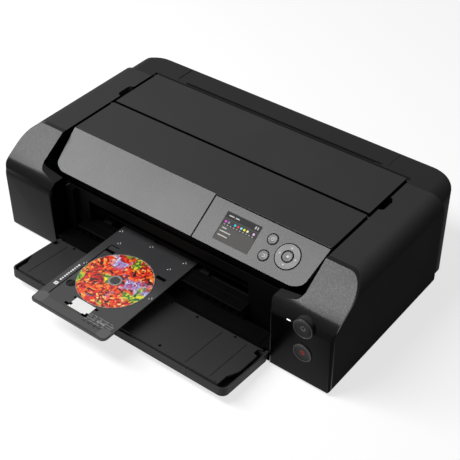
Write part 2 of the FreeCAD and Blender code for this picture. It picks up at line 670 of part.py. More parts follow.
def base_case():
    """Floor of the printer with its rim, screw bosses and the paper ledge in the bay."""
    rear = CASE_DEPTH - REAR_HOUSING_DEPTH
    half = HALF - BOTTOM_ROUND - SEAM
    back = at(CASE_DEPTH - WALL - BACK_TOE_ROUND - SEAM)
    front = at(WALL + FRONT_TOE_ROUND + SEAM)
    nose = at(LEDGE_FRONT_DEPTH)
    bay = BAY_HALF - SEAM
    right = [(bay, nose, 0), (bay, front, 0), (half, front, 4), (half, at(rear - SEAM), 0),
             (half - REAR_STEP, at(rear), 0),
             (half - REAR_STEP, back, REAR_CORNER_ROUND - BOTTOM_ROUND)]
    left = [(-x, y, r) for x, y, r in reversed(right)]
    floor = prism_z(right + left, BOTTOM, BOTTOM + WALL)
    pieces = [floor]
    for side in (-1, 1):
        rim = box(half - 2, half, front + 4, at(rear - 1), BOTTOM, BOTTOM + RIM_HEIGHT)
        pieces.append(rim if side > 0 else mirrored(rim))
    ledge_top = BOTTOM + LEDGE_TOP
    pieces.append(box(-bay, bay, nose, at(LEDGE_BACK_DEPTH), ledge_top - WALL, ledge_top))
    front_half = BAY_HALF - 2 * OUTPUT_ARM - 2 * SLIP
    pieces.append(box(-front_half, front_half, nose, nose + WALL, BOTTOM, ledge_top))
    for i in range(LEDGE_RIBS):
        x = -front_half + (2 * front_half - 2) * i / (LEDGE_RIBS - 1)
        pieces.append(box(x, x + 2, nose, at(LEDGE_BACK_DEPTH), BOTTOM, ledge_top))
    for x, y in screw_places():
        pieces.append(rod_z(x, y, BOTTOM, BOTTOM + SCREW_LENGTH, SCREW_RADIUS * 2.5))
    base = joined(pieces)
    for side in (-1, 1):
        end = box(LEDGE_RIGHT_X, BAY_HALF, nose - 1, at(LEDGE_BACK_DEPTH + 1), ledge_top - 1, ledge_top + 1)
        base = base.cut(end if side > 0 else mirrored(end))
    for x, y in screw_places():
        base = base.cut(rod_z(x, y, BOTTOM - 1, BOTTOM + SCREW_LENGTH + 1, SCREW_RADIUS + RUNNING))
    return base


def case_screws():
    """Screws that hold the covers to the base."""
    screws = []
    for x, y in screw_places():
        head = Part.makeCone(SCREW_RADIUS * 1.6, SCREW_RADIUS * 2, 1.4, Vector(x, y, BOTTOM - 1.4), Z_AXIS)
        screws.append(joined([head, rod_z(x, y, BOTTOM - 0.2, BOTTOM + SCREW_LENGTH, SCREW_RADIUS)]))
    return group(screws)


def feet():
    """Four rubber feet under the base."""
    pads = []
    for x in (-HALF + FOOT_INSET_X, HALF - FOOT_INSET_X):
        for y in (at(FOOT_INSET_Y), at(CASE_DEPTH - FOOT_INSET_Y)):
            pads.append(Part.makeCone(FOOT_RADIUS - 1, FOOT_RADIUS, FOOT_HEIGHT, Vector(x, y, 0), Z_AXIS))
    return group(pads)


# --- Front bay --------------------------------------------------------------------------------

def front_frame():
    """Wall at the back of the bay with the disc tray's mouth."""
    bay = BAY_HALF - SEAM
    front = at(FRAME_DEPTH)
    back = front + FRAME_THICK
    sill = GUIDE_TOP
    x0, x1 = RECESS_X
    wall = box(-bay, bay, front, back, BOTTOM + WALL, BOTTOM + FRAME_TOP)
    lips = box(x0 - 2, x1 + 2, front, back + RECESS_LIP, sill - 2, BOTTOM + RECESS_TOP + 2)
    post = box(-bay, -BAY_HALF + FRAME_POST, at(LEDGE_BACK_DEPTH) + SLIP, back,
               BOTTOM + LEDGE_TOP, BOTTOM + FRAME_TOP)
    mouth = box(x0, x1, front - 1, back + RECESS_LIP + 1, sill, BOTTOM + RECESS_TOP)
    return joined([wall, lips, post]).cut(mouth)


def tray_guide():
    """Ribbed guide that the disc tray slides over."""
    x0, x1 = GUIDE_X
    low = BOTTOM + LEDGE_TOP
    front = at(GUIDE_FRONT_DEPTH)
    back = at(FRAME_DEPTH) - SLIP
    block = prism_x([(front, GUIDE_TOP, 1), (back, GUIDE_TOP, 0), (back, low, 0),
                     (front + GUIDE_RIDGE_LEAN, low, 0)], x0, x1)
    count = int((x1 - x0) / GUIDE_PITCH)
    for i in range(count):
        x = x0 + GUIDE_PITCH * (i + 0.5)
        slot = box(x, x + GUIDE_PITCH * 0.6, front - 1, front + GUIDE_RIDGE_LEAN + 2, low + 4, GUIDE_TOP - 4)
        block = block.cut(slot)
    return block


# --- Output tray ------------------------------------------------------------------------------

def tilted(shape):
    """Turn a piece of the output tray from level to its open slope."""
    shape = shape.copy()
    shape.rotate(Vector(0, at(OUTPUT_HINGE_DEPTH), BOTTOM + OUTPUT_HINGE_HEIGHT), X_AXIS, -OUTPUT_TILT_DEG)
    return shape


def output_tray():
    """Outer shell of the output tray with its hinge arms and pins."""
    low = BOTTOM + OUTPUT_BASE
    high = low + OUTPUT_SHELL_HEIGHT
    rear = at(OUTPUT_REAR_DEPTH)
    front = at(OUTPUT_FRONT_DEPTH)
    half = OUTPUT_HALF

    def plan(inset, z0, z1):
        edge = half - inset
        return prism_z([(-edge, rear - inset, 0), (-edge, front + inset, OUTPUT_CORNER - inset),
                        (edge, front + inset, OUTPUT_CORNER - inset), (edge, rear - inset, 0)], z0, z1)

    shell = plan(0, low, high).cut(plan(WALL, low + WALL, high + 1))
    shell = shell.cut(box(-EXTENSION_HALF - SLIP, EXTENSION_HALF + SLIP, front - 1, front + WALL + 1,
                          low + WALL, high + 1))
    hinge_y = at(OUTPUT_HINGE_DEPTH)
    hinge_z = BOTTOM + OUTPUT_HINGE_HEIGHT
    pieces = [shell]
    for side in (-1, 1):
        rail = box(EXTENSION_HALF + 2 * SLIP, EXTENSION_HALF + 2 * SLIP + WALL, front, rear, low, high)
        arm = box(half - OUTPUT_ARM - 1, half - 1, rear - WALL, hinge_y,
                  hinge_z - OUTPUT_ARM_ROUND, hinge_z + OUTPUT_ARM_ROUND)
        eye = rod_x(half - OUTPUT_ARM - 1, half - 1, hinge_y, hinge_z, OUTPUT_ARM_ROUND)
        pin = rod_x(half - 2, BAY_HALF + WALL - SLIP, hinge_y, hinge_z, OUTPUT_PIN_RADIUS)
        hinge = joined([arm, eye, pin])
        pieces += [rail, hinge] if side > 0 else [mirrored(rail), mirrored(hinge)]
    return tilted(joined(pieces))


def output_plate():
    """Top plate of the output tray: stepped edges, grooves, holes and front lips."""
    low = BOTTOM + OUTPUT_BASE + OUTPUT_SHELL_HEIGHT
    high = low + OUTPUT_PLATE_THICK
    rear = at(OUTPUT_REAR_DEPTH)
    front = at(OUTPUT_FRONT_DEPTH) + OUTPUT_PLATE_SETBACK
    wide = OUTPUT_PLATE_HALF
    narrow = wide - OUTPUT_PLATE_STEP
    step, shoulder, full = OUTPUT_STEP_LENGTHS
    neck, waist, bite = OUTPUT_BITE_LENGTHS
    right = [(narrow, front, 2), (narrow, front + step, 0), (wide - 5, front + shoulder, 0),
             (wide, front + full, 0), (wide, rear - bite, 0), (narrow, rear - waist, 0),
             (narrow, rear - neck, 0), (wide, rear, 0)]
    left = [(-x, y, r) for x, y, r in reversed(right)]
    plate = prism_z(right + left, low, high)
    for x in OUTPUT_GROOVES:
        for side in (-1, 1):
            groove = box(side * x - 0.5, side * x + 0.5, front + 4, rear - 6, high - 0.8, high + 1)
            plate = plate.cut(groove)
    for x, depth in OUTPUT_HOLES:
        plate = plate.cut(rod_z(x, at(depth), low - 1, high + 1, OUTPUT_HOLE_RADIUS))
    lips = []
    for side in (-1, 1):
        x0, x1 = sorted((side * OUTPUT_LIP[0], side * OUTPUT_LIP[1]))
        lips.append(box(x0, x1, front, front + 2, high - 0.5, high + OUTPUT_LIP_RISE))
    return tilted(joined([plate] + lips))


def output_extension():
    """Pull-out part of the output tray with its front wall."""
    low = BOTTOM + OUTPUT_BASE + WALL
    high = BOTTOM + OUTPUT_BASE + OUTPUT_SHELL_HEIGHT
    front = at(OUTPUT_FRONT_DEPTH)
    half = EXTENSION_HALF
    wall = box(-half, half, front, front + EXTENSION_THICK, low + SLIP, high - SLIP)
    plate = box(-half, half, front, at(EXTENSION_REAR_DEPTH), low + 2, low + 2 + EXTENSION_THICK)
    runners = [box(x - 1, x + 1, front, at(EXTENSION_REAR_DEPTH), low + SLIP, low + 3)
               for x in (-half + 2, -half / 3, half / 3, half - 2)]
    return tilted(joined([wall, plate] + runners))


# --- Disc tray --------------------------------------------------------------------------------

def disc_tray():
    """Sliding tray with the disc's seat, hub, finger hole and slots."""
    x0, x1 = DISC_TRAY_X
    front = at(-DISC_TRAY_REACH)
    back = front + DISC_TRAY_LENGTH
    r = DISC_TRAY_CORNER
    tray = prism_z([(x0, front, r), (x1, front, r), (x1, back, r), (x0, back, r)], TRAY_BASE, TRAY_TOP)
    toe = box(x0 - 1, x1 + 1, front - 1, front + TRAY_TOE_LENGTH, TRAY_TOP - TRAY_TOE_STEP, TRAY_TOP + 1)
    seat = rod_z(DISC_X, at(DISC_DEPTH), TRAY_TOP - DISC_SEAT_DEPTH, TRAY_TOP + 1, DISC_RADIUS + SLIP * 2)
    tray = tray.cut(toe).cut(seat)
    hub = rod_z(DISC_X, at(DISC_DEPTH), TRAY_BASE, TRAY_TOP + HUB_RISE, DISC_HOLE_RADIUS - RUNNING)
    tray = tray.fuse(hub)
    cuts = [rod_z(THUMB_HOLE[0], at(THUMB_HOLE[1]), TRAY_BASE - 1, TRAY_TOP + 1, THUMB_HOLE_RADIUS)]
    for x, depth, width, length in TRAY_SLOTS:
        cuts.append(box(x - width / 2, x + width / 2, at(depth - length / 2), at(depth + length / 2),
                        TRAY_BASE - 1, TRAY_TOP + 1))
    px, pd = PATCH_PLACE
    cuts.append(box(px - PATCH_SIZE[0] / 2 - SLIP, px + PATCH_SIZE[0] / 2 + SLIP,
                    at(pd - PATCH_SIZE[1] / 2) - SLIP, at(pd + PATCH_SIZE[1] / 2) + SLIP,
                    TRAY_TOP - PATCH_THICK, TRAY_TOP + 1))
    for cut in cuts:
        tray = tray.cut(cut)
    return tray


def alignment_patch():
    """White reference plate let into the disc tray."""
    px, pd = PATCH_PLACE
    return box(px - PATCH_SIZE[0] / 2, px + PATCH_SIZE[0] / 2, at(pd - PATCH_SIZE[1] / 2),
               at(pd + PATCH_SIZE[1] / 2), TRAY_TOP - PATCH_THICK, TRAY_TOP + 0.1)


def disc():
    """Printable disc on the tray's hub."""
    low = TRAY_TOP - DISC_SEAT_DEPTH + RUNNING
    plate = rod_z(DISC_X, at(DISC_DEPTH), low, low + DISC_THICK, DISC_RADIUS)
    return plate.cut(rod_z(DISC_X, at(DISC_DEPTH), low - 1, low + DISC_THICK + 1, DISC_HOLE_RADIUS))


# --- Top cover and control panel --------------------------------------------------------------

def slope_place(x, along, rise):
    """Point on the cover's slope: distance down it from the crease, and height above it."""
    y = at(COVER_FOLD_DEPTH) - along * math.cos(SLOPE) - rise * math.sin(SLOPE)
    z = TOP - along * math.sin(SLOPE) + rise * math.cos(SLOPE)
    return Vector(x, y, z)


SLOPE_NORMAL = Vector(0, -math.sin(SLOPE), math.cos(SLOPE))
SLOPE_LENGTH = (COVER_FOLD_DEPTH - COVER_TOE_DEPTH) / math.cos(SLOPE)


def slope_block(x0, x1, along0, along1, rise0, rise1):
    """Block square to the slope."""
    corners = [(x0, along0, 0), (x1, along0, 0), (x1, along1, 0), (x0, along1, 0)]
    wire = outline(corners, lambda a, b: slope_place(a, b, rise0))
    return Part.Face(wire).extrude(SLOPE_NORMAL * (rise1 - rise0))


def slope_rod(x, along, rise0, rise1, radius):
    """Round bar square to the slope."""
    return Part.makeCylinder(radius, rise1 - rise0, slope_place(x, along, rise0), SLOPE_NORMAL)


def cover_front_outline(inset):
    """(X, Z) outline of the top cover seen from the front."""
    top = COVER_HALF - inset
    toe = COVER_TOE_HALF - inset
    low = PANEL_TOE_HEIGHT - COVER_LIP_DROP + inset
    round_corner = COVER_TOE_ROUND - inset
    fold = TOP - 4
    return [(-top, TOP + 1, 0), (-top, fold, 0), (-toe, low, round_corner), (toe, low, round_corner),
            (top, fold, 0), (top, TOP + 1, 0)]


def cover_sheet(depth):
    """Bent sheet along X under the panels, this deep below the cover's surface."""
    rear = at(COVER_REAR_DEPTH - HINGE_RADIUS)
    fold = at(COVER_FOLD_DEPTH)
    crease = slope_place(0, 0, -PANEL_THICK)
    toe = slope_place(0, SLOPE_LENGTH, -PANEL_THICK)
    low = PANEL_TOE_HEIGHT - COVER_LIP_DROP
    inner_toe_y = toe.y + depth
    inner = slope_place(0, 0, -PANEL_THICK - depth)
    inner_toe_z = inner.z + (inner_toe_y - inner.y) * math.tan(SLOPE)
    inner_fold_y = inner.y + (TOP - depth - inner.z) / math.tan(SLOPE)
    return prism_x([(rear, TOP, 0), (fold + SEAM, TOP, 0), (crease.y, crease.z, 0), (toe.y, toe.z, 0),
                    (toe.y, low, 0), (inner_toe_y, low, 0), (inner_toe_y, inner_toe_z, 0),
                    (inner_fold_y, TOP - depth, 0), (rear, TOP - depth, 0)], -COVER_HALF, COVER_HALF)


def rolled_edge(depth):
    """Rolled rear edge of a cover with its stub pins, round its hinge line."""
    y = at(depth - HINGE_RADIUS)
    z = TOP - HINGE_RADIUS
    reach = CHANNEL_HALF + WALL - SLIP
    return rod_x(-COVER_HALF, COVER_HALF, y, z, HINGE_RADIUS).fuse(rod_x(-reach, reach, y, z, HINGE_PIN_RADIUS))


def top_cover():
    """Lifting cover: flat top, skirts, sloped seat for the panels and front lip."""
    long = at(CASE_DEPTH)
    face = prism_y(cover_front_outline(0), at(0), long)
    core = prism_y(cover_front_outline(WALL), at(0), long)
    skin = cover_sheet(WALL).common(face)
    skirt = cover_sheet(COVER_SKIRT).common(face.cut(core))
    cover = skin.fuse(skirt).fuse(rolled_edge(COVER_REAR_DEPTH))
    window = slope_block(PANEL_WINDOW_X[0], PANEL_WINDOW_X[1], PANEL_WINDOW_SLOPE[0], PANEL_WINDOW_SLOPE[1],
                         -PANEL_THICK - 2 * WALL, 0)
    return cover.cut(window).removeSplitter()


def sloped_panel():
    """Whole satin panel on the slope, before it is parted."""
    corners = [(-COVER_HALF, 0, 0), (COVER_HALF, 0, 0),
               (COVER_TOE_HALF, SLOPE_LENGTH, COVER_TOE_ROUND), (-COVER_TOE_HALF, SLOPE_LENGTH, COVER_TOE_ROUND)]
    wire = outline(corners, lambda a, b: slope_place(a, b, -PANEL_THICK))
    return Part.Face(wire).extrude(SLOPE_NORMAL * PANEL_THICK)


def slope_panel(whole):
    """Plain panel to the left of the control panel."""
    return whole.cut(slope_block(PANEL_SPLIT_X - SEAM / 2, COVER_HALF + 1, -1, SLOPE_LENGTH + 1, -9, 9))


def round_keys():
    """(X, distance down the slope, radius) of every round key on the panel."""
    return [(KEY_X, MENU_KEY_SLOPE, KEY_RADIUS), (KEY_X, BACK_KEY_SLOPE, KEY_RADIUS),
            (NAV_X, NAV_SLOPE, NAV_RADIUS)]


def control_panel(whole):
    """Control panel with its display opening, key holes and board posts."""
    panel = whole.cut(slope_block(-COVER_HALF - 1, PANEL_SPLIT_X + SEAM / 2, -1, SLOPE_LENGTH + 1, -9, 9))
    panel = panel.cut(slope_block(DISPLAY_X - DISPLAY_WIDTH / 2 - SLIP / 2, DISPLAY_X + DISPLAY_WIDTH / 2 + SLIP / 2,
                                  DISPLAY_SLOPE - DISPLAY_HEIGHT / 2 - SLIP / 2,
                                  DISPLAY_SLOPE + DISPLAY_HEIGHT / 2 + SLIP / 2, -9, 9))
    for x, along, radius in round_keys():
        panel = panel.cut(slope_rod(x, along, -9, 9, radius + KEY_CLEARANCE))
    for x in (PANEL_WINDOW_X[0] + POST_INSET, POST_X, PANEL_WINDOW_X[1] - POST_INSET):
        for along in (PANEL_WINDOW_SLOPE[0] + POST_INSET, PANEL_WINDOW_SLOPE[1] - POST_INSET):
            panel = panel.fuse(slope_block(x - POST_HALF, x + POST_HALF, along - POST_HALF, along + POST_HALF,
                                           -PANEL_BOARD_DROP, -PANEL_THICK / 2))
    return panel


def round_key(x, along, radius):
    """Round push key standing in the control panel."""
    return slope_rod(x, along, KEY_PROUD - KEY_HEIGHT, KEY_PROUD, radius)


def nav_ring():
    """Four-way ring key round the OK key."""
    ring = round_key(NAV_X, NAV_SLOPE, NAV_RADIUS)
    return ring.cut(slope_rod(NAV_X, NAV_SLOPE, -9, 9, OK_RADIUS + KEY_CLEARANCE))


def display_window():
    """Clear window over the display."""
    return slope_block(DISPLAY_X - DISPLAY_WIDTH / 2, DISPLAY_X + DISPLAY_WIDTH / 2,
                       DISPLAY_SLOPE - DISPLAY_HEIGHT / 2, DISPLAY_SLOPE + DISPLAY_HEIGHT / 2,
                       -PANEL_THICK + 0.2, -0.1)


def display_module():
    """Liquid crystal module under the window."""
    half_x = DISPLAY_WIDTH / 2 + 3
    half_s = DISPLAY_HEIGHT / 2 + 3
    return slope_block(DISPLAY_X - half_x, DISPLAY_X + half_x, DISPLAY_SLOPE - half_s, DISPLAY_SLOPE + half_s,
                       -PANEL_BOARD_DROP, -PANEL_THICK)


def panel_board():
    """Circuit board behind the control panel."""
    return slope_block(PANEL_WINDOW_X[0] + 1, PANEL_WINDOW_X[1] - 1, PANEL_WINDOW_SLOPE[0] + 1,
                       PANEL_WINDOW_SLOPE[1] - 1, -PANEL_BOARD_DROP - SHEET, -PANEL_BOARD_DROP)


def rear_tray_cover():
    """Lid over the rear paper feed."""
    front = at(COVER_REAR_DEPTH + COVER_GAP)
    rear = at(REAR_COVER_BACK_DEPTH - HINGE_RADIUS)
    lid = box(-COVER_HALF, COVER_HALF, front, rear, TOP - WALL, TOP)
    skirts = []
    for side in (-1, 1):
        skirt = box(COVER_HALF - WALL, COVER_HALF, front, rear, TOP - COVER_SKIRT + 4, TOP)
        skirts.append(skirt if side > 0 else mirrored(skirt))
    nose = box(-COVER_HALF, COVER_HALF, front, front + WALL, TOP - COVER_SKIRT + 6, TOP)
    return joined([lid, nose, rolled_edge(REAR_COVER_BACK_DEPTH)] + skirts)


# --- Tower keys -------------------------------------------------------------------------------

def tower_key(x, height, radius):
    """Round push key in the right tower with its guide stem."""
    z = BOTTOM + height
    front = at(-TOWER_KEY_PROUD)
    cup = rod_y(x, front, at(TOWER_KEY_DEPTH), z, radius)
    cup = cup.cut(rod_y(x, front + WALL, at(TOWER_KEY_DEPTH + 1), z, radius - 2))
    return cup.fuse(rod_y(x, front + 1, at(KEY_BRACKET_DEPTH + 3), z, KEY_STEM_RADIUS))


def key_bracket():
    """Guide plate behind the tower keys."""
    x0, x1 = KEY_BRACKET_X
    z0 = BOTTOM + STOP_KEY_HEIGHT - STOP_KEY_RADIUS - 6
    z1 = BOTTOM + POWER_KEY_HEIGHT + 3
    plate = box(x0, x1, at(KEY_BRACKET_DEPTH), at(KEY_BRACKET_DEPTH + 2), z0, z1)
    posts = []
    for x in (x0 + 3, x1 - 3):
        for z in (z0 + 3, (z0 + z1) / 2, z1 - 3):
            posts.append(box(x - 2, x + 2, at(WALL), at(KEY_BRACKET_DEPTH + 1), z - 2, z + 2))
    bracket = joined([plate] + posts)
    for x, height in ((POWER_KEY_X, POWER_KEY_HEIGHT), (STOP_KEY_X, STOP_KEY_HEIGHT)):
        bracket = bracket.cut(rod_y(x, at(0), at(40), BOTTOM + height, KEY_STEM_RADIUS + RUNNING))
    return bracket


# --- Frame of the mechanism -------------------------------------------------------------------

def side_plate():
    """Right steel side plate with its foot and shaft holes."""
    x0 = SIDE_PLATE_X
    x1 = x0 + SHEET
    low = BOTTOM + WALL
    front = at(EJECT_ROLLER_DEPTH - 12)
    back = at(BACK_PLATE_DEPTH + 20)
    shoulder = TRAY_TOP + SIDE_PLATE_SHOULDER
    plate = prism_x([(front, low, 0), (back, low, 0), (back, BACK_PLATE_TOP, 6),
                     (at(RAIL_DEPTH - 16), BACK_PLATE_TOP, 8), (at(RAIL_DEPTH - 22), shoulder, 8),
                     (front, shoulder, 6)], x0, x1)
    foot = box(x0, x1 + SIDE_PLATE_FOOT, front, back, low, low + SHEET)
    plate = joined([plate, foot])
    for depth in (FEED_ROLLER_DEPTH, EJECT_ROLLER_DEPTH):
        plate = plate.cut(rod_x(x0 - 1, x1 + 1, at(depth), ROLLER_HEIGHT, ROLLER_SHAFT_RADIUS + RUNNING))
    return plate.cut(rod_x(x0 - 1, x1 + 1, at(RAIL_DEPTH), RAIL_HEIGHT, RAIL_RADIUS + RUNNING))


def side_plates():
    """Both side plates: the left one also has the idler gear's stub and the motor shaft's hole."""
    right = side_plate()
    plate = mirrored(right)
    x = -SIDE_PLATE_X - SHEET
    plate = plate.cut(rod_x(x - 1, x + SHEET + 1, at(pinion_depth()), ROLLER_HEIGHT, MOTOR_SHAFT_RADIUS + 1))
    stub = rod_x(x - GEAR_GAP - GEAR_WIDTH, x + SHEET, at(idler_depth()), ROLLER_HEIGHT, IDLER_STUB_RADIUS)
    return group([joined([plate, stub]), right])


def back_plate():
    """Steel plate behind the carriage with its top guide flange and the idler pulley's pin."""
    half = SIDE_PLATE_X - SLIP
    front = at(BACK_PLATE_DEPTH)
    plate = box(-half, half, front, front + SHEET, TRAY_TOP + 11, BACK_PLATE_TOP)
    flange = box(-half, half, front - BACK_PLATE_FLANGE, front + SHEET, BACK_PLATE_TOP - SHEET, BACK_PLATE_TOP)
    pin = rod_y(-PULLEY_X, at(BELT_DEPTH) - SLIP, front + 1, BELT_HEIGHT, IDLER_STUB_RADIUS)
    plate = joined([plate, flange, pin])
    return plate.cut(rod_y(PULLEY_X, front - 1, front + SHEET + 1, BELT_HEIGHT, IDLER_STUB_RADIUS + 2))


def carriage_rail():
    """Round rail that the carriage slides on."""
    reach = SIDE_PLATE_X + SHEET + 1
    return rod_x(-reach, reach, at(RAIL_DEPTH), RAIL_HEIGHT, RAIL_RADIUS)


# --- Rollers and gears ------------------------------------------------------------------------

def idler_depth():
    """Depth of the idler gear, in mesh with the feed roller's gear."""
    return FEED_ROLLER_DEPTH - GEAR_MODULE * (FEED_TEETH + IDLER_TEETH) / 2


def pinion_depth():
    """Depth of the motor pinion, in mesh with the feed roller's gear."""
    return FEED_ROLLER_DEPTH + GEAR_MODULE * (FEED_TEETH + PINION_TEETH) / 2


def gear(teeth, depth, bore, tooth_at_front):
    """Spur gear on a shaft along X; a tooth or else a gap points straight to the front."""
    centre_y = at(depth)
    pitch = GEAR_MODULE * teeth / 2
    tip = pitch + GEAR_MODULE * 0.85
    root = pitch - GEAR_MODULE * 1.2
    step = 2 * math.pi / teeth
    start = math.pi if tooth_at_front else math.pi + step / 2
    points = []
    for i in range(teeth):
        middle = start + i * step
        for radius, share in ((root, -0.30), (tip, -0.11), (tip, 0.11), (root, 0.30)):
            angle = middle + share * step
            points.append((centre_y + radius * math.cos(angle), ROLLER_HEIGHT + radius * math.sin(angle), 0))
    x1 = -SIDE_PLATE_X - SHEET - GEAR_GAP
    wheel = prism_x(points, x1 - GEAR_WIDTH, x1)
    return wheel.cut(rod_x(x1 - GEAR_WIDTH - 1, x1 + 1, centre_y, ROLLER_HEIGHT, bore))


def roller_shaft(depth):
    """Steel shaft from the gear at the left to the right side plate."""
    left = -SIDE_PLATE_X - SHEET - GEAR_GAP - GEAR_WIDTH
    return rod_x(left, SIDE_PLATE_X + SHEET + 2, at(depth), ROLLER_HEIGHT, ROLLER_SHAFT_RADIUS)


def feed_roller():
    """Long gritted roller that feeds paper and the disc tray, with its gear."""
    roll = rod_x(-FEED_HALF, FEED_HALF, at(FEED_ROLLER_DEPTH), ROLLER_HEIGHT, ROLLER_RADIUS)
    wheel = gear(FEED_TEETH, FEED_ROLLER_DEPTH, ROLLER_SHAFT_RADIUS, True)
    return group([roller_shaft(FEED_ROLLER_DEPTH).fuse(roll), wheel])


def eject_roller():
    """Eject shaft with its rubber rollers and gear."""
    wheel = gear(FEED_TEETH, EJECT_ROLLER_DEPTH, ROLLER_SHAFT_RADIUS, True)
    pieces = [roller_shaft(EJECT_ROLLER_DEPTH), wheel]
    for i in range(EJECT_COUNT):
        x = -EJECT_SPAN + 2 * EJECT_SPAN * i / (EJECT_COUNT - 1)
        x0, x1 = x - EJECT_WIDTH / 2, x + EJECT_WIDTH / 2
        tyre = rod_x(x0, x1, at(EJECT_ROLLER_DEPTH), ROLLER_HEIGHT, ROLLER_RADIUS)
        pieces.append(tyre.cut(roller_shaft(EJECT_ROLLER_DEPTH)))
    return group(pieces)


def pinch_height(radius):
    """Axis height of an idle roller that runs on top of the disc tray."""
    return TRAY_TOP + HUB_RISE + ROLLER_GAP + radius


def pinch_rollers():
    """Idle rollers on one shaft over the feed roller."""
    z = pinch_height(PINCH_RADIUS)
    y = at(FEED_ROLLER_DEPTH)
    pieces = [rod_x(-PINCH_SPAN, PINCH_SPAN, y, z, PINCH_SHAFT_RADIUS)]
    for i in range(PINCH_COUNT):
        x = -PINCH_SPAN + 2 * PINCH_SPAN * (i + 0.5) / PINCH_COUNT
        pieces.append(rod_x(x - PINCH_WIDTH / 2, x + PINCH_WIDTH / 2, y, z, PINCH_RADIUS))
    return joined(pieces)


def star(x, y, z):
    """Thin toothed wheel square to X."""
    points = []
    for i in range(2 * STAR_POINTS):
        radius = STAR_RADIUS if i % 2 == 0 else STAR_RADIUS * STAR_ROOT
        angle = math.pi * i / STAR_POINTS
        points.append((y + radius * math.cos(angle), z + radius * math.sin(angle), 0))
    return prism_x(points, x - STAR_WIDTH / 2, x + STAR_WIDTH / 2)


def star_wheels():
    """Star wheels on one shaft over the eject rollers."""
    z = pinch_height(STAR_RADIUS)
    y = at(EJECT_ROLLER_DEPTH)
    pieces = [rod_x(-PINCH_SPAN, PINCH_SPAN, y, z, PINCH_SHAFT_RADIUS)]
    for i in range(EJECT_COUNT):
        pieces.append(star(-EJECT_SPAN + 2 * EJECT_SPAN * i / (EJECT_COUNT - 1), y, z))
    return joined(pieces)


def holder_ears(depth, radius):
    """Ears at both ends of an idle shaft, hanging from a beam."""
    z = pinch_height(radius)
    ears = []
    for side in (-1, 1):
        x0 = PINCH_SPAN - EAR
        ear = box(x0, x0 + EAR, at(depth - EAR), at(depth + EAR), z - EAR, HOLDER_HEIGHT + 1)
        ear = ear.cut(rod_x(x0 - 1, x0 + EAR + 1, at(depth), z, PINCH_SHAFT_RADIUS + RUNNING))
        ears.append(ear if side > 0 else mirrored(ear))
    return ears


def pinch_holder():
    """Beam from the back plate that carries the pinch rollers' shaft."""
    beam = box(-PINCH_SPAN, PINCH_SPAN, at(FEED_ROLLER_DEPTH - EAR), at(BACK_PLATE_DEPTH) - SLIP,
               HOLDER_HEIGHT, HOLDER_HEIGHT + WALL)
    return joined([beam] + holder_ears(FEED_ROLLER_DEPTH, PINCH_RADIUS))


def star_holder():
    """Beam on two legs that carries the star wheels' shaft."""
    y0 = at(FRAME_DEPTH + FRAME_THICK + RECESS_LIP) + SLIP
    y1 = at(CARRIAGE_DEPTH[0]) - 1
    half = BAY_HALF - 1
    pieces = [box(-half, half, y0, y1, HOLDER_HEIGHT, HOLDER_HEIGHT + WALL)]
    for side in (-1, 1):
        leg = box(half - 4, half, y1 - 4, y1, BOTTOM + WALL, HOLDER_HEIGHT + WALL)
        pieces.append(leg if side > 0 else mirrored(leg))
    return joined(pieces + holder_ears(EJECT_ROLLER_DEPTH, STAR_RADIUS))


def platen():
    """Ribbed support under the print head."""
    y0, y1 = at(PLATEN_DEPTH[0]), at(PLATEN_DEPTH[1])
    top = TRAY_BASE - 0.4
    half = FEED_HALF + 2
    pieces = [box(-half, half, y0, y1, top - 6, top - 3.5)]
    for i in range(PLATEN_RIBS):
        x = -half + 2 * (half - 1) * i / (PLATEN_RIBS - 1)
        pieces.append(box(x, x + 2, y0, y1, top - 6, top))
    for side in (-1, 1):
        leg = box(half - WALL, half, y0, y1, BOTTOM + WALL, top - 3.5)
        pieces.append(leg if side > 0 else mirrored(leg))
    return joined(pieces)


def motor(x, y, z, axis):
    """Small motor can; axis points from its shaft end into the can."""
    front = Vector(x, y, z)
    can = Part.makeCylinder(MOTOR_RADIUS, MOTOR_LENGTH, front, axis)
    return can.cut(Part.makeCylinder(MOTOR_SHAFT_RADIUS + RUNNING, MOTOR_BORE, front, axis))


def drive_motors():
    """Paper feed motor on the left side plate and carriage motor on the back plate."""
    feed = motor(-SIDE_PLATE_X + SLIP, at(pinion_depth()), ROLLER_HEIGHT, X_AXIS)
    belt = motor(PULLEY_X, at(BACK_PLATE_DEPTH) + SHEET + SLIP, BELT_HEIGHT, Y_AXIS)
    return group([feed, belt])


def feed_pinion():
    """Motor pinion and its shaft."""
    x0 = -SIDE_PLATE_X - SHEET - GEAR_GAP - GEAR_WIDTH
    shaft = rod_x(x0, -SIDE_PLATE_X + MOTOR_BORE - 1, at(pinion_depth()), ROLLER_HEIGHT, MOTOR_SHAFT_RADIUS)
    return gear(PINION_TEETH, pinion_depth(), MOTOR_SHAFT_RADIUS - 0.2, False).fuse(shaft)


# --- Carriage ---------------------------------------------------------------------------------

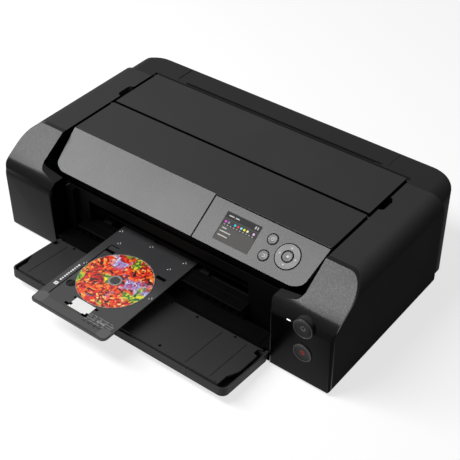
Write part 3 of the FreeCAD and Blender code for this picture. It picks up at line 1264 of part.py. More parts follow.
def carriage():
    """Open-topped carriage with its rail bearing, belt clamp and strip reader."""
    x = CARRIAGE_PARK_X
    half = CARRIAGE_WIDTH / 2
    y0, y1 = at(CARRIAGE_DEPTH[0]), at(CARRIAGE_DEPTH[1])
    low = HOLDER_HEIGHT + WALL + 2
    high = low + CARRIAGE_HEIGHT
    side = [(y0, low, 4), (y1, low, 2), (y1, high, 2), (y0 + 8, high, 4), (y0, high - 18, 6)]
    body = prism_x(side, x - half, x + half)
    body = body.cut(box(x - half + WALL, x + half - WALL, y0 + WALL, y1 - WALL, low + WALL, high + 1))
    bearing = prism_x([(y1 - 1, RAIL_HEIGHT - 8, 0), (at(RAIL_DEPTH + 7.5), RAIL_HEIGHT - 8, 3),
                       (at(RAIL_DEPTH + 7.5), RAIL_HEIGHT + 8, 3), (y1 - 1, RAIL_HEIGHT + 8, 0)],
                      x - half, x + half)
    clamp_top = BELT_HEIGHT - PULLEY_RADIUS - BELT_THICK - SLIP * 1.5
    clamp = box(x - 9, x + 9, y1 - 1, at(BELT_DEPTH + BELT_WIDTH), clamp_top - 3, clamp_top)
    reader = box(x - 9, x + 9, y1 - 1, at(STRIP_DEPTH + 4), STRIP_HEIGHT - 6, STRIP_HEIGHT + 8)
    slot = box(x - 10, x + 10, at(STRIP_DEPTH) - 0.6, at(STRIP_DEPTH) + 0.9, STRIP_HEIGHT - 1, STRIP_HEIGHT + 9)
    whole = joined([body, bearing, clamp, reader.cut(slot)])
    return whole.cut(rod_x(x - half - 1, x + half + 1, at(RAIL_DEPTH), RAIL_HEIGHT, RAIL_RADIUS + RUNNING))


def print_head():
    """Print head under the carriage."""
    x = CARRIAGE_PARK_X
    top = HOLDER_HEIGHT + WALL + 2
    y0, y1 = at(PLATEN_DEPTH[0] + 4), at(PLATEN_DEPTH[1] - 4)
    face = TRAY_TOP + HEAD_GAP
    return prism_x([(y0 + 3, face, 1), (y1 - 3, face, 1), (y1, top, 0), (y0, top, 0)],
                   x - HEAD_HALF, x + HEAD_HALF)


def ink_tanks():
    """Row of ink tanks in the carriage."""
    inner = CARRIAGE_WIDTH - 2 * WALL - 2 * SLIP
    pitch = inner / INK_COUNT
    low = HOLDER_HEIGHT + 2 * WALL + 2
    high = low + CARRIAGE_HEIGHT + 6
    y0, y1 = at(CARRIAGE_DEPTH[0]) + WALL + SLIP, at(CARRIAGE_DEPTH[1]) - WALL - SLIP
    tanks = []
    for i in range(INK_COUNT):
        x = CARRIAGE_PARK_X - inner / 2 + pitch * i
        side = [(y0, low, 0), (y1, low, 0), (y1, high, 0), (y0 + 14, high, 0), (y0, high - 24, 0)]
        tanks.append(prism_x(side, x + SLIP / 2, x + pitch - SLIP / 2))
    return group(tanks)


def carriage_belt():
    """Toothed belt loop, drawn as a plain band round both pulleys."""

    def loop(radius):
        height = BELT_HEIGHT
        edge = PULLEY_X + radius
        return prism_y([(-edge, height - radius, radius * 0.999), (edge, height - radius, radius * 0.999),
                        (edge, height + radius, radius * 0.999), (-edge, height + radius, radius * 0.999)],
                       at(BELT_DEPTH), at(BELT_DEPTH + BELT_WIDTH))

    inner = PULLEY_RADIUS + SLIP / 2
    return loop(inner + BELT_THICK).cut(loop(inner))


def drive_pulley():
    """Carriage motor's pulley and shaft."""
    wheel = rod_y(PULLEY_X, at(BELT_DEPTH), at(BELT_DEPTH + BELT_WIDTH), BELT_HEIGHT, PULLEY_RADIUS)
    back = at(BACK_PLATE_DEPTH) + SHEET + MOTOR_BORE - 1
    shaft = rod_y(PULLEY_X, at(BELT_DEPTH) - 1, back, BELT_HEIGHT, MOTOR_SHAFT_RADIUS)
    return wheel.fuse(shaft)


def idler_pulley():
    """Pulley at the belt's other end."""
    wheel = rod_y(-PULLEY_X, at(BELT_DEPTH), at(BELT_DEPTH + BELT_WIDTH), BELT_HEIGHT, PULLEY_RADIUS)
    return wheel.cut(rod_y(-PULLEY_X, at(BELT_DEPTH) - 1, at(BELT_DEPTH + BELT_WIDTH) + 1, BELT_HEIGHT,
                           IDLER_STUB_RADIUS + RUNNING))


def encoder_strip():
    """Clear strip that tells the carriage where it is."""
    half = SIDE_PLATE_X - SLIP
    return box(-half, half, at(STRIP_DEPTH), at(STRIP_DEPTH) + 0.3, STRIP_HEIGHT,
               STRIP_HEIGHT + STRIP_WIDTH)


def station_tub():
    """Tub of the cleaning station under the parked print head, with its wiper."""
    half = HEAD_HALF + 6
    x = CARRIAGE_PARK_X
    y0, y1 = at(PLATEN_DEPTH[0]), at(PLATEN_DEPTH[1])
    top = TRAY_TOP - 3
    body = box(x - half, x + half, y0, y1, BOTTOM + WALL, top)
    well = box(x - half + 2, x + half - 2, y0 + 2, y1 - 2, top - 8, top + 1)
    wiper = box(x - half + 3, x - half + 4, y0 + 4, y1 - 4, top - 9, top + 3)
    return joined([body.cut(well), wiper])


def maintenance_station():
    """Cleaning station: tub and rubber cap."""
    return group([station_tub(), head_cap()])


def head_cap():
    """Rubber cap that seals the parked print head."""
    x = CARRIAGE_PARK_X
    half = HEAD_HALF - 4
    y0, y1 = at(PLATEN_DEPTH[0] + 7), at(PLATEN_DEPTH[1] - 7)
    low = TRAY_TOP - 11
    top = TRAY_TOP + HEAD_GAP - SLIP
    cap = box(x - half, x + half, y0, y1, low, top)
    return cap.cut(box(x - half + 1.5, x + half - 1.5, y0 + 1.5, y1 - 1.5, top - 3, top + 1))


# --- Rear feed --------------------------------------------------------------------------------

FEED_ANGLE = math.atan2(FEED_PLATE_TOP[1] - FEED_PLATE_TOE[1], FEED_PLATE_TOP[0] - FEED_PLATE_TOE[0])
FEED_RUN = math.hypot(FEED_PLATE_TOP[0] - FEED_PLATE_TOE[0], FEED_PLATE_TOP[1] - FEED_PLATE_TOE[1])


def feed_place(along, rise):
    """(Y, Z) of a point up the feed plate from its toe, and this far off its front face."""
    y = at(FEED_PLATE_TOE[0]) + along * math.cos(FEED_ANGLE) - rise * math.sin(FEED_ANGLE)
    z = FEED_PLATE_TOE[1] + along * math.sin(FEED_ANGLE) + rise * math.cos(FEED_ANGLE)
    return y, z


def feed_block(x0, x1, along0, along1, rise0, rise1):
    """Block square to the feed plate."""
    corners = [feed_place(along0, rise0), feed_place(along1, rise0), feed_place(along1, rise1),
               feed_place(along0, rise1)]
    return prism_x([(y, z, 0) for y, z in corners], x0, x1)


def pick_centre():
    """Axis of the pick roller, touching a sheet on the feed plate."""
    return feed_place(FEED_RUN * PICK_SHARE, PICK_RADIUS + 0.6)


def rear_feed_frame():
    """Sloping feed plate between two upright cheeks."""
    plate = feed_block(-FEED_PLATE_HALF, FEED_PLATE_HALF, 0, FEED_RUN, -WALL, 0)
    low = BOTTOM + WALL
    y, z = pick_centre()
    front = y - PICK_RADIUS
    back = at(FEED_PLATE_TOP[0]) + 4
    top = FEED_PLATE_TOP[1]
    pieces = [plate]
    for side in (-1, 1):
        cheek = prism_x([(front, low, 0), (back, low, 0), (back, top, 4), (back - 40, top, 8),
                         (front, z + PICK_RADIUS, 8)], FEED_PLATE_HALF, FEED_PLATE_HALF + WALL)
        cheek = cheek.cut(rod_x(FEED_PLATE_HALF - 1, FEED_PLATE_HALF + WALL + 1, y, z, PICK_SHAFT_RADIUS + RUNNING))
        pieces.append(cheek if side > 0 else mirrored(cheek))
    return joined(pieces)


def pick_roller():
    """Shaft with two rubber rollers that pick the top sheet."""
    y, z = pick_centre()
    reach = FEED_PLATE_HALF + WALL + 2
    pieces = [rod_x(-reach, reach, y, z, PICK_SHAFT_RADIUS)]
    for side in (-1, 1):
        x = side * PICK_X
        pieces.append(rod_x(x - 10, x + 10, y, z, PICK_RADIUS))
    return joined(pieces)


def right_paper_guide():
    """Sliding edge guide on the feed plate."""
    end = FEED_RUN - PAPER_GUIDE_END
    outer = PAPER_HALF + PAPER_GUIDE_WALL
    foot_edge = PAPER_HALF + PAPER_GUIDE_FOOT
    wall = feed_block(PAPER_HALF, outer, PAPER_GUIDE_FROM, end, SLIP, PAPER_GUIDE_RISE)
    foot = feed_block(PAPER_HALF, foot_edge, PAPER_GUIDE_FROM, end, SLIP, SLIP + 2)
    rib = feed_block(PAPER_HALF, foot_edge - 4, end - PAPER_GUIDE_RIB - 2, end - PAPER_GUIDE_RIB, SLIP,
                     PAPER_GUIDE_RISE - PAPER_GUIDE_RIB)
    return joined([wall, foot, rib])


# --- Boards -----------------------------------------------------------------------------------

def main_board():
    """Upright circuit board in the left tower with its chips and sockets."""
    x = -SIDE_PLATE_X - BOARD_OFFSET
    low = BOTTOM + WALL
    board = box(x - SHEET, x, at(BOARD_DEPTH[0]), at(BOARD_DEPTH[1]), low, low + BOARD_HEIGHT)
    parts = [board]
    for depth, height, width, tall, thick in BOARD_PARTS:
        parts.append(box(x - 0.1, x + thick, at(depth), at(depth + width), height, height + tall))
    return joined(parts)


def power_supply():
    """Closed power supply in the right tower, with a ribbed cooling face."""
    x0 = SIDE_PLATE_X + 8
    width, length, height = SUPPLY_SIZE
    y0 = at(SUPPLY_DEPTH)
    low = BOTTOM + WALL
    block = box(x0, x0 + width, y0, y0 + length, low, low + height)
    pitch = length / (SUPPLY_SLOTS + 1)
    for i in range(SUPPLY_SLOTS):
        y = y0 + pitch * (i + 0.75)
        block = block.cut(box(x0 + width - 2, x0 + width + 1, y, y + pitch / 2, low + 12, low + height - 12))
    return block


def save(node, shape):
    """One STEP file for one node."""
    shape.exportStep("parts/" + node + ".step")
    print(node, len(shape.Solids), "valid" if shape.isValid() else "NOT VALID")


def main():
    os.makedirs("parts", exist_ok=True)
    shell = right_side_shell()
    left_tower, right_tower = tower_covers(shell)
    left_side, right_side = side_covers(shell)
    save("left_tower_cover", left_tower)
    save("right_tower_cover", right_tower)
    save("left_side_cover", left_side)
    save("right_side_cover", right_side)
    back = rear_shell()
    save("rear_housing", rear_housing(back))
    save("rear_strip", rear_strip(back))
    save("inlet_socket", inlet_socket())
    save("rear_ports", rear_ports())
    save("base_case", base_case())
    save("case_screws", case_screws())
    save("feet", feet())
    save("front_frame", front_frame())
    save("tray_guide", tray_guide())
    save("output_tray", output_tray())
    save("output_plate", output_plate())
    save("output_extension", output_extension())
    save("disc_tray", disc_tray())
    save("alignment_patch", alignment_patch())
    save("disc", disc())
    save("top_cover", top_cover())
    panel = sloped_panel()
    save("slope_panel", slope_panel(panel))
    save("control_panel", control_panel(panel))
    save("menu_key", round_key(KEY_X, MENU_KEY_SLOPE, KEY_RADIUS))
    save("back_key", round_key(KEY_X, BACK_KEY_SLOPE, KEY_RADIUS))
    save("ok_key", round_key(NAV_X, NAV_SLOPE, OK_RADIUS))
    save("nav_ring", nav_ring())
    save("display_window", display_window())
    save("display_module", display_module())
    save("panel_board", panel_board())
    save("rear_tray_cover", rear_tray_cover())
    save("power_key", tower_key(POWER_KEY_X, POWER_KEY_HEIGHT, POWER_KEY_RADIUS))
    save("stop_key", tower_key(STOP_KEY_X, STOP_KEY_HEIGHT, STOP_KEY_RADIUS))
    save("key_bracket", key_bracket())
    save("power_lamp_lens", led_slot(0))
    save("side_plates", side_plates())
    save("back_plate", back_plate())
    save("carriage_rail", carriage_rail())
    save("feed_roller", feed_roller())
    save("idler_gear", gear(IDLER_TEETH, idler_depth(), IDLER_STUB_RADIUS + RUNNING, False))
    save("eject_roller", eject_roller())
    save("pinch_rollers", pinch_rollers())
    save("roller_holders", group([pinch_holder(), star_holder()]))
    save("star_wheels", star_wheels())
    save("platen", platen())
    save("drive_motors", drive_motors())
    save("feed_pinion", feed_pinion())
    save("carriage", carriage())
    save("print_head", print_head())
    save("ink_tanks", ink_tanks())
    save("carriage_belt", carriage_belt())
    save("drive_pulley", drive_pulley())
    save("idler_pulley", idler_pulley())
    save("encoder_strip", encoder_strip())
    save("maintenance_station", maintenance_station())
    save("rear_feed_frame", rear_feed_frame())
    save("pick_roller", pick_roller())
    save("right_paper_guide", right_paper_guide())
    save("left_paper_guide", mirrored(right_paper_guide()))
    save("main_board", main_board())
    save("power_supply", power_supply())


main()
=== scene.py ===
import json
import math

import bmesh
import bpy
from mathutils import Matrix, Vector


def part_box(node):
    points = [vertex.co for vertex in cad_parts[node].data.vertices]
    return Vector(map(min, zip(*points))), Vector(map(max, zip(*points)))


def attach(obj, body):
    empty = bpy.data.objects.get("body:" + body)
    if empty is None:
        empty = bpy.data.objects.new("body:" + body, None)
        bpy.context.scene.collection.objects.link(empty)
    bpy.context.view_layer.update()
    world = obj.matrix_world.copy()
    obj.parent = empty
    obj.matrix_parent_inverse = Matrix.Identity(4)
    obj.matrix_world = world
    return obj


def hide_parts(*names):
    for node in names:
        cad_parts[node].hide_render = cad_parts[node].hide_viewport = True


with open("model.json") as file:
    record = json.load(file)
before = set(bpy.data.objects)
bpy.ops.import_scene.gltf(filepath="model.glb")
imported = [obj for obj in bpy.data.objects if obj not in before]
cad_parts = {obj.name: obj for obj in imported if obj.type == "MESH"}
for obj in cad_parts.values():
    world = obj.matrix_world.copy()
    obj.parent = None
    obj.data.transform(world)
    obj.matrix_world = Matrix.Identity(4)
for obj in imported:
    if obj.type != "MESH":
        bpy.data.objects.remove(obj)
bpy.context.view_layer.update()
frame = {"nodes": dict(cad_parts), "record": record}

# A disc label printer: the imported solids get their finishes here, and thin details are added on top.
# Lengths are metres in the row frame: +X to the printer's right, +Y to its back, +Z up.

MM = 0.001

# --- Places read from the frame -----------------------------------------------------------------
SLOPE = math.radians(33.0)              # fall of the control panel and the tower chamfers
ACROSS = Vector((1, 0, 0))
UP_SLOPE = Vector((0, math.cos(SLOPE), math.sin(SLOPE)))
OFF_SLOPE = Vector((0, -math.sin(SLOPE), math.cos(SLOPE)))
TO_BACK = Vector((0, 1, 0))
UP = Vector((0, 0, 1))
PANEL_THICK = 2.4 * MM
TRAY_THICK = 3.0 * MM
TOE_HALF = 0.2375           # half width of the panels' lower edge
CHANNEL_REACH = 0.256       # half the channel between the side covers, and their inner walls
TOWER_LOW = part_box("right_tower_cover")[0]
PANEL_LOW, PANEL_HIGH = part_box("control_panel")
TRAY_LOW, TRAY_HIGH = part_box("disc_tray")
PATCH_LOW, PATCH_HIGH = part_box("alignment_patch")
DISC_LOW, DISC_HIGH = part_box("disc")
DISC_MIDDLE = (DISC_LOW + DISC_HIGH) / 2
TRAY_TOP = TRAY_LOW.z + TRAY_THICK
CREASE = Vector((0, PANEL_HIGH.y - PANEL_THICK * math.sin(SLOPE), PANEL_HIGH.z))


# --- Camera -------------------------------------------------------------------------------------
CAMERA_AZIMUTH = math.radians(38.09)    # from straight in front towards the printer's right
CAMERA_ELEVATION = math.radians(39.52)
CAMERA_ROLL = math.radians(-0.51)
CAMERA_TARGET = Vector((27.6, 44.8, 60.4)) * MM
CAMERA_DISTANCE = 1.699
CAMERA_SENSOR = 36.0                    # millimetres
CAMERA_LENS = 84.16                     # millimetres
CAMERA_NEAR = 0.05


def make_camera():
    """Camera that looks down on the printer from its front right."""
    level = math.cos(CAMERA_ELEVATION)
    back = Vector((math.sin(CAMERA_AZIMUTH) * level, -math.cos(CAMERA_AZIMUTH) * level,
                   math.sin(CAMERA_ELEVATION)))
    data = bpy.data.cameras.new("camera")
    data.sensor_width = CAMERA_SENSOR
    data.lens = CAMERA_LENS
    data.clip_start = CAMERA_NEAR
    camera = bpy.data.objects.new("camera", data)
    bpy.context.scene.collection.objects.link(camera)
    camera.rotation_mode = "QUATERNION"
    aim = (-back).to_track_quat("-Z", "Y")
    camera.rotation_quaternion = aim @ Matrix.Rotation(CAMERA_ROLL, 4, "Z").to_quaternion()
    camera.location = CAMERA_TARGET + back * CAMERA_DISTANCE
    bpy.context.scene.camera = camera


# --- Light and floor ----------------------------------------------------------------------------
KEY_PLACE = Vector((-1.06, -0.79, 1.78))    # middle of the lamp
KEY_ALONG = Vector((1.055, -0.12, 0.29))    # its long edge, so that the panels mirror it level
KEY_AIM = Vector((0, 0, 0.08))
KEY_WIDTH = 2.05
KEY_HEIGHT = 0.60
KEY_RADIANCE = 14.5
WORLD_STRENGTH = 0.12       # light that the world casts
WORLD_WHITE = 1.0           # strength at which the world is seen
FLOOR_REACH = 12.0
FLOOR_GLOW = 0.72           # the floor's own light, seen but not cast
FLOOR_ALBEDO = 0.34


def softbox():
    """Large soft lamp above the front left."""
    data = bpy.data.lights.new("key", "AREA")
    data.shape = "RECTANGLE"
    data.size = KEY_WIDTH
    data.size_y = KEY_HEIGHT
    data.energy = KEY_RADIANCE * math.pi * KEY_WIDTH * KEY_HEIGHT
    lamp = bpy.data.objects.new("key", data)
    bpy.context.scene.collection.objects.link(lamp)
    away = (KEY_PLACE - KEY_AIM).normalized()
    along = (KEY_ALONG - away * KEY_ALONG.dot(away)).normalized()
    turn = Matrix((along, away.cross(along), away)).transposed()
    lamp.matrix_world = Matrix.Translation(KEY_PLACE) @ turn.to_4x4()


def make_light():
    """One large key from above the front left, and a dim even world."""
    bpy.context.scene.view_settings.view_transform = "Standard"
    softbox()
    world = bpy.data.worlds.new("world")
    world.use_nodes = True
    bpy.context.scene.world = world
    nodes, links = world.node_tree.nodes, world.node_tree.links
    dim = nodes["Background"]
    dim.inputs["Color"].default_value = (1, 1, 1, 1)
    dim.inputs["Strength"].default_value = WORLD_STRENGTH
    white = nodes.new("ShaderNodeBackground")
    white.inputs["Color"].default_value = (1, 1, 1, 1)
    white.inputs["Strength"].default_value = WORLD_WHITE
    mix = nodes.new("ShaderNodeMixShader")
    links.new(seen_directly(nodes, links), mix.inputs["Fac"])
    links.new(dim.outputs[0], mix.inputs[1])
    links.new(white.outputs[0], mix.inputs[2])
    links.new(mix.outputs[0], nodes["World Output"].inputs["Surface"])


def seen_directly(nodes, links):
    """One for camera, glossy and transmission rays, and nought for the rest."""
    path = nodes.new("ShaderNodeLightPath")
    total = path.outputs["Is Camera Ray"]
    for ray in ("Is Glossy Ray", "Is Transmission Ray"):
        add = nodes.new("ShaderNodeMath")
        add.operation = "ADD"
        add.use_clamp = True
        links.new(total, add.inputs[0])
        links.new(path.outputs[ray], add.inputs[1])
        total = add.outputs[0]
    return total


def make_floor():
    """Plain white floor that keeps the shadow; its own light evens out what lies round it."""
    mesh = bpy.data.meshes.new("floor")
    corners = [(-FLOOR_REACH, -FLOOR_REACH, 0), (FLOOR_REACH, -FLOOR_REACH, 0),
               (FLOOR_REACH, FLOOR_REACH, 0), (-FLOOR_REACH, FLOOR_REACH, 0)]
    mesh.from_pydata(corners, [], [(0, 1, 2, 3)])
    floor = bpy.data.objects.new("floor", mesh)
    bpy.context.scene.collection.objects.link(floor)
    material = bpy.data.materials.new("floor_white")
    material.use_nodes = True
    nodes, links = material.node_tree.nodes, material.node_tree.links
    shader = nodes["Principled BSDF"]
    shader.inputs["Base Color"].default_value = (FLOOR_ALBEDO, FLOOR_ALBEDO, FLOOR_ALBEDO, 1)
    shader.inputs["Roughness"].default_value = 0.9
    shader.inputs["Specular IOR Level"].default_value = 0.1
    shader.inputs["Emission Color"].default_value = (1, 1, 1, 1)
    level = nodes.new("ShaderNodeMath")
    level.operation = "MULTIPLY"
    level.inputs[1].default_value = FLOOR_GLOW
    links.new(seen_directly(nodes, links), level.inputs[0])
    links.new(level.outputs[0], shader.inputs["Emission Strength"])
    mesh.materials.append(material)


# --- Materials ----------------------------------------------------------------------------------

SHARP_DEG = 31.0            # edges that bend more than this stay crisp


class Finish:
    """A Principled material with procedural colour, roughness and relief."""

    def __init__(self, name, colour, roughness, specular=0.5, metallic=0.0):
        self.material = bpy.data.materials.new(name)
        self.material.use_nodes = True
        self.nodes = self.material.node_tree.nodes
        self.links = self.material.node_tree.links
        self.shader = self.nodes["Principled BSDF"]
        self.colour = (*colour, 1.0)
        self.set("Base Color", self.colour)
        self.set("Roughness", roughness)
        self.set("Specular IOR Level", specular)
        self.set("Metallic", metallic)
        self.place = self.nodes.new("ShaderNodeTexCoord").outputs["Object"]

    def set(self, socket, value):
        self.shader.inputs[socket].default_value = value
        return self

    def noise(self, scale, detail=2.0, place=None):
        """Noise value; scale is features per metre."""
        node = self.nodes.new("ShaderNodeTexNoise")
        node.inputs["Scale"].default_value = scale
        node.inputs["Detail"].default_value = detail
        self.links.new(place or self.place, node.inputs["Vector"])
        return node.outputs["Fac"]

    def ramp(self, value, low, high, colour0, colour1):
        """Colour that runs from colour0 at low to colour1 at high."""
        node = self.nodes.new("ShaderNodeValToRGB")
        node.color_ramp.elements[0].position = low
        node.color_ramp.elements[1].position = high
        node.color_ramp.elements[0].color = (*colour0[:3], 1)
        node.color_ramp.elements[1].color = (*colour1[:3], 1)
        self.links.new(value, node.inputs["Fac"])
        return node.outputs["Color"]

    def mottle(self, scale, spread, detail=3.0):
        """Slight cloudy change of the base colour."""
        base = self.colour
        dark = [c * (1 - spread) for c in base[:3]]
        light = [c * (1 + spread) for c in base[:3]]
        self.links.new(self.ramp(self.noise(scale, detail), 0.3, 0.7, dark, light),
                       self.shader.inputs["Base Color"])
        return self

    def fleck(self, size, share, boost):
        """Bright flecks, as in metallic paint, over the base colour."""
        cells = self.nodes.new("ShaderNodeTexVoronoi")
        cells.inputs["Scale"].default_value = 1.0 / size
        self.links.new(self.place, cells.inputs["Vector"])
        split = self.nodes.new("ShaderNodeSeparateColor")
        self.links.new(cells.outputs["Color"], split.inputs["Color"])
        light = [min(c * boost, 1.0) for c in self.colour[:3]]
        self.links.new(self.ramp(split.outputs["Red"], 1 - share, 1.0, self.colour, light),
                       self.shader.inputs["Base Color"])
        return self

    def smudge(self, scale, spread):
        """Uneven roughness."""
        base = self.shader.inputs["Roughness"].default_value
        node = self.nodes.new("ShaderNodeMapRange")
        node.inputs["From Min"].default_value = 0.3
        node.inputs["From Max"].default_value = 0.7
        node.inputs["To Min"].default_value = max(base - spread, 0.02)
        node.inputs["To Max"].default_value = min(base + spread, 1.0)
        self.links.new(self.noise(scale), node.inputs["Value"])
        self.links.new(node.outputs["Result"], self.shader.inputs["Roughness"])
        return self

    def blend(self, amount, first, second):
        """Colour that is first where amount is nought and second where it is one."""
        mix = self.nodes.new("ShaderNodeMix")
        mix.data_type = "RGBA"
        self.links.new(amount, mix.inputs["Factor"])
        for socket, colour in (("A", first), ("B", second)):
            if isinstance(colour, tuple):
                mix.inputs[socket].default_value = (*colour, 1.0)
            else:
                self.links.new(colour, mix.inputs[socket])
        return mix.outputs["Result"]

    def repaint(self, amount, colour, keep=False):
        """Put another colour where amount is one; with keep, where it is nought."""
        base = self.shader.inputs["Base Color"]
        now = base.links[0].from_socket
        first, second = (colour, now) if keep else (now, colour)
        self.links.new(self.blend(amount, first, second), base)
        return self

    def calculate(self, operation, first, second=None):
        """Output of a Math node; numbers go on its sockets, and outputs are linked to them."""
        node = self.nodes.new("ShaderNodeMath")
        node.operation = operation
        for socket, value in zip(node.inputs, (first, second)):
            if isinstance(value, (int, float)):
                socket.default_value = value
            elif value is not None:
                self.links.new(value, socket)
        return node.outputs[0]

    def split(self, vector):
        """Node with a vector's X, Y and Z."""
        node = self.nodes.new("ShaderNodeSeparateXYZ")
        self.links.new(vector, node.inputs["Vector"])
        return node.outputs

    def walls(self, colour, reach=None, low=0.35, high=0.50):
        """Painted shade: another colour on upright and hidden walls; with reach, only nearer the middle than
        that.

        The base colour holds from high up, low and high being the Z of the surface's normal."""
        normal = self.nodes.new("ShaderNodeNewGeometry").outputs["Normal"]
        kept = self.ramp(self.split(normal)["Z"], low, high, (0, 0, 0), (1, 1, 1))
        if reach:
            out = self.calculate("ABSOLUTE", self.split(self.place)["X"])
            kept = self.calculate("MAXIMUM", kept, self.calculate("GREATER_THAN", out, reach))
        return self.repaint(kept, colour, keep=True)

    def zone(self, colour, low, high):
        """Another colour inside a box of the row frame."""
        where = self.split(self.place)
        inside = 1.0
        for axis, near, far in zip("XYZ", low, high):
            inside = self.calculate("MULTIPLY", inside, self.calculate("GREATER_THAN", where[axis], near))
            inside = self.calculate("MULTIPLY", inside, self.calculate("LESS_THAN", where[axis], far))
        return self.repaint(inside, colour)

    def glow(self, colour, strength):
        """Light of its own."""
        self.set("Emission Color", (*colour, 1.0))
        return self.set("Emission Strength", strength)

    def grain(self, size, depth, detail=1.0):
        """Fine moulded relief."""
        bump = self.nodes.new("ShaderNodeBump")
        bump.inputs["Distance"].default_value = depth
        bump.inputs["Strength"].default_value = 0.6
        self.links.new(self.noise(1.0 / size, detail), bump.inputs["Height"])
        self.links.new(bump.outputs["Normal"], self.shader.inputs["Normal"])
        return self


DISC_WARM = ((0.0, (0.015, 0.004, 0.004)), (0.16, (0.10, 0.006, 0.008)), (0.32, (0.50, 0.012, 0.016)),
             (0.58, (0.80, 0.035, 0.018)), (0.80, (0.92, 0.13, 0.018)), (0.94, (0.93, 0.34, 0.045)),
             (1.0, (0.93, 0.66, 0.26)))
DISC_COOL = ((0.0, (0.30, 0.020, 0.10)), (0.35, (0.40, 0.24, 0.55)), (0.7, (0.33, 0.48, 0.85)),
             (1.0, (0.75, 0.80, 0.95)))
DISC_LEAF = ((0.0, (0.010, 0.06, 0.015)), (0.4, (0.05, 0.22, 0.035)), (0.7, (0.40, 0.50, 0.02)),
             (1.0, (0.90, 0.80, 0.06)))
DISC_FLECKS = 260.0         # cells of the print per metre, before they are bent
DISC_WAVES = 34.0           # waves per metre that bend the print
DISC_BEND = 0.030           # how far they push it
DISC_CLOUDS = 23.0          # clouds of the cool and the leaf colours per metre
DISC_COOL_FROM = 0.62       # a cloud shows where its noise passes this
DISC_LEAF_FROM = 0.57


def disc_finish():
    """Abstract print: small bent cells in warm colours, with clouds of cool and leaf colours."""
    finish = Finish("disc_print", (0.75, 0.22, 0.05), 0.30, 0.5)
    nodes, links = finish.nodes, finish.links
    warp = nodes.new("ShaderNodeTexNoise")
    warp.inputs["Scale"].default_value = DISC_WAVES
    warp.inputs["Detail"].default_value = 3.0
    links.new(finish.place, warp.inputs["Vector"])
    push = nodes.new("ShaderNodeVectorMath")
    push.operation = "MULTIPLY_ADD"
    push.inputs[1].default_value = (DISC_BEND, DISC_BEND, DISC_BEND)
    links.new(warp.outputs["Color"], push.inputs[0])
    links.new(finish.place, push.inputs[2])
    bent = push.outputs["Vector"]
    cells = nodes.new("ShaderNodeTexVoronoi")
    cells.inputs["Scale"].default_value = DISC_FLECKS
    links.new(bent, cells.inputs["Vector"])
    split = nodes.new("ShaderNodeSeparateColor")
    links.new(cells.outputs["Color"], split.inputs["Color"])

    def shades(channel, stops):
        """A cell's own shade, from one channel of its chance colour."""
        ramp = nodes.new("ShaderNodeValToRGB")
        fill_ramp(ramp.color_ramp, stops)
        links.new(split.outputs[channel], ramp.inputs["Fac"])
        return ramp.outputs["Color"]

    colour = shades("Red", DISC_WARM)
    clouds = (("Green", DISC_COOL, (-70.0, 45.0, 7.0), DISC_COOL_FROM),
              ("Blue", DISC_LEAF, (31.0, -19.0, 3.0), DISC_LEAF_FROM))
    for channel, stops, shift, start in clouds:
        moved = nodes.new("ShaderNodeVectorMath")
        moved.operation = "ADD"
        moved.inputs[1].default_value = shift
        links.new(bent, moved.inputs[0])
        noise = finish.noise(DISC_CLOUDS, 2.5, moved.outputs["Vector"])
        amount = finish.ramp(noise, start - 0.02, start + 0.03, (0, 0, 0), (1, 1, 1))
        colour = finish.blend(amount, colour, shades(channel, stops))
    links.new(colour, finish.shader.inputs["Base Color"])
    return finish.grain(0.0015, 0.00001)


def fill_ramp(ramp, stops):
    """Give a colour ramp these (position, colour) stops."""
    while len(ramp.elements) < len(stops):
        ramp.elements.new(0.5)
    for element, (position, colour) in zip(ramp.elements, stops):
        element.position = position
        element.color = (*colour, 1.0)


COVER_SHADE = 0.044
GAP_WALL_SHADE = (0.0015, 0.0015, 0.0015)   # painted shade on the covers' upright walls, seen only in their gaps
CHANNEL_WALL_SHADE = (0.002, 0.002, 0.002)     # painted shade on the walls of the channel between the side covers
GAP_SHADE_LOW = (-0.187, 0.2015, 0.1)        # painted shade in the gap behind the rear tray cover
GAP_SHADE_HIGH = (0.187, 0.2078, 0.2)
SEAM_SHADE_LOW = (-0.2092, 0.2078, 0.0)       # painted shade in the seam at the left end of the rear strip
SEAM_SHADE_HIGH = (-0.2072, 0.3, 0.2)


def grey(shade, blue=1.0):
    """Neutral colour; blue scales its last part."""
    return shade, shade, shade * blue


def cover_finish(name, shade, specular=0.015):
    """Black textured case plastic."""
    return (Finish(name, grey(shade, 1.01), 0.55, specular).mottle(9, 0.04)
            .smudge(14, 0.05).grain(0.0011, 0.00009))


def metal_finish(name, colour, roughness, cloud, spread, smudge, unevenness):
    """Bare metal with slight clouds of colour and of roughness."""
    return Finish(name, colour, roughness, 0.5, 1.0).mottle(cloud, spread).smudge(smudge, unevenness)


def mark_finish(name, colour):
    """Ink of a printed mark or of a display's picture."""
    return Finish(name, colour, 0.55, 0.05).mottle(400, 0.05).grain(0.0006, 0.00001)


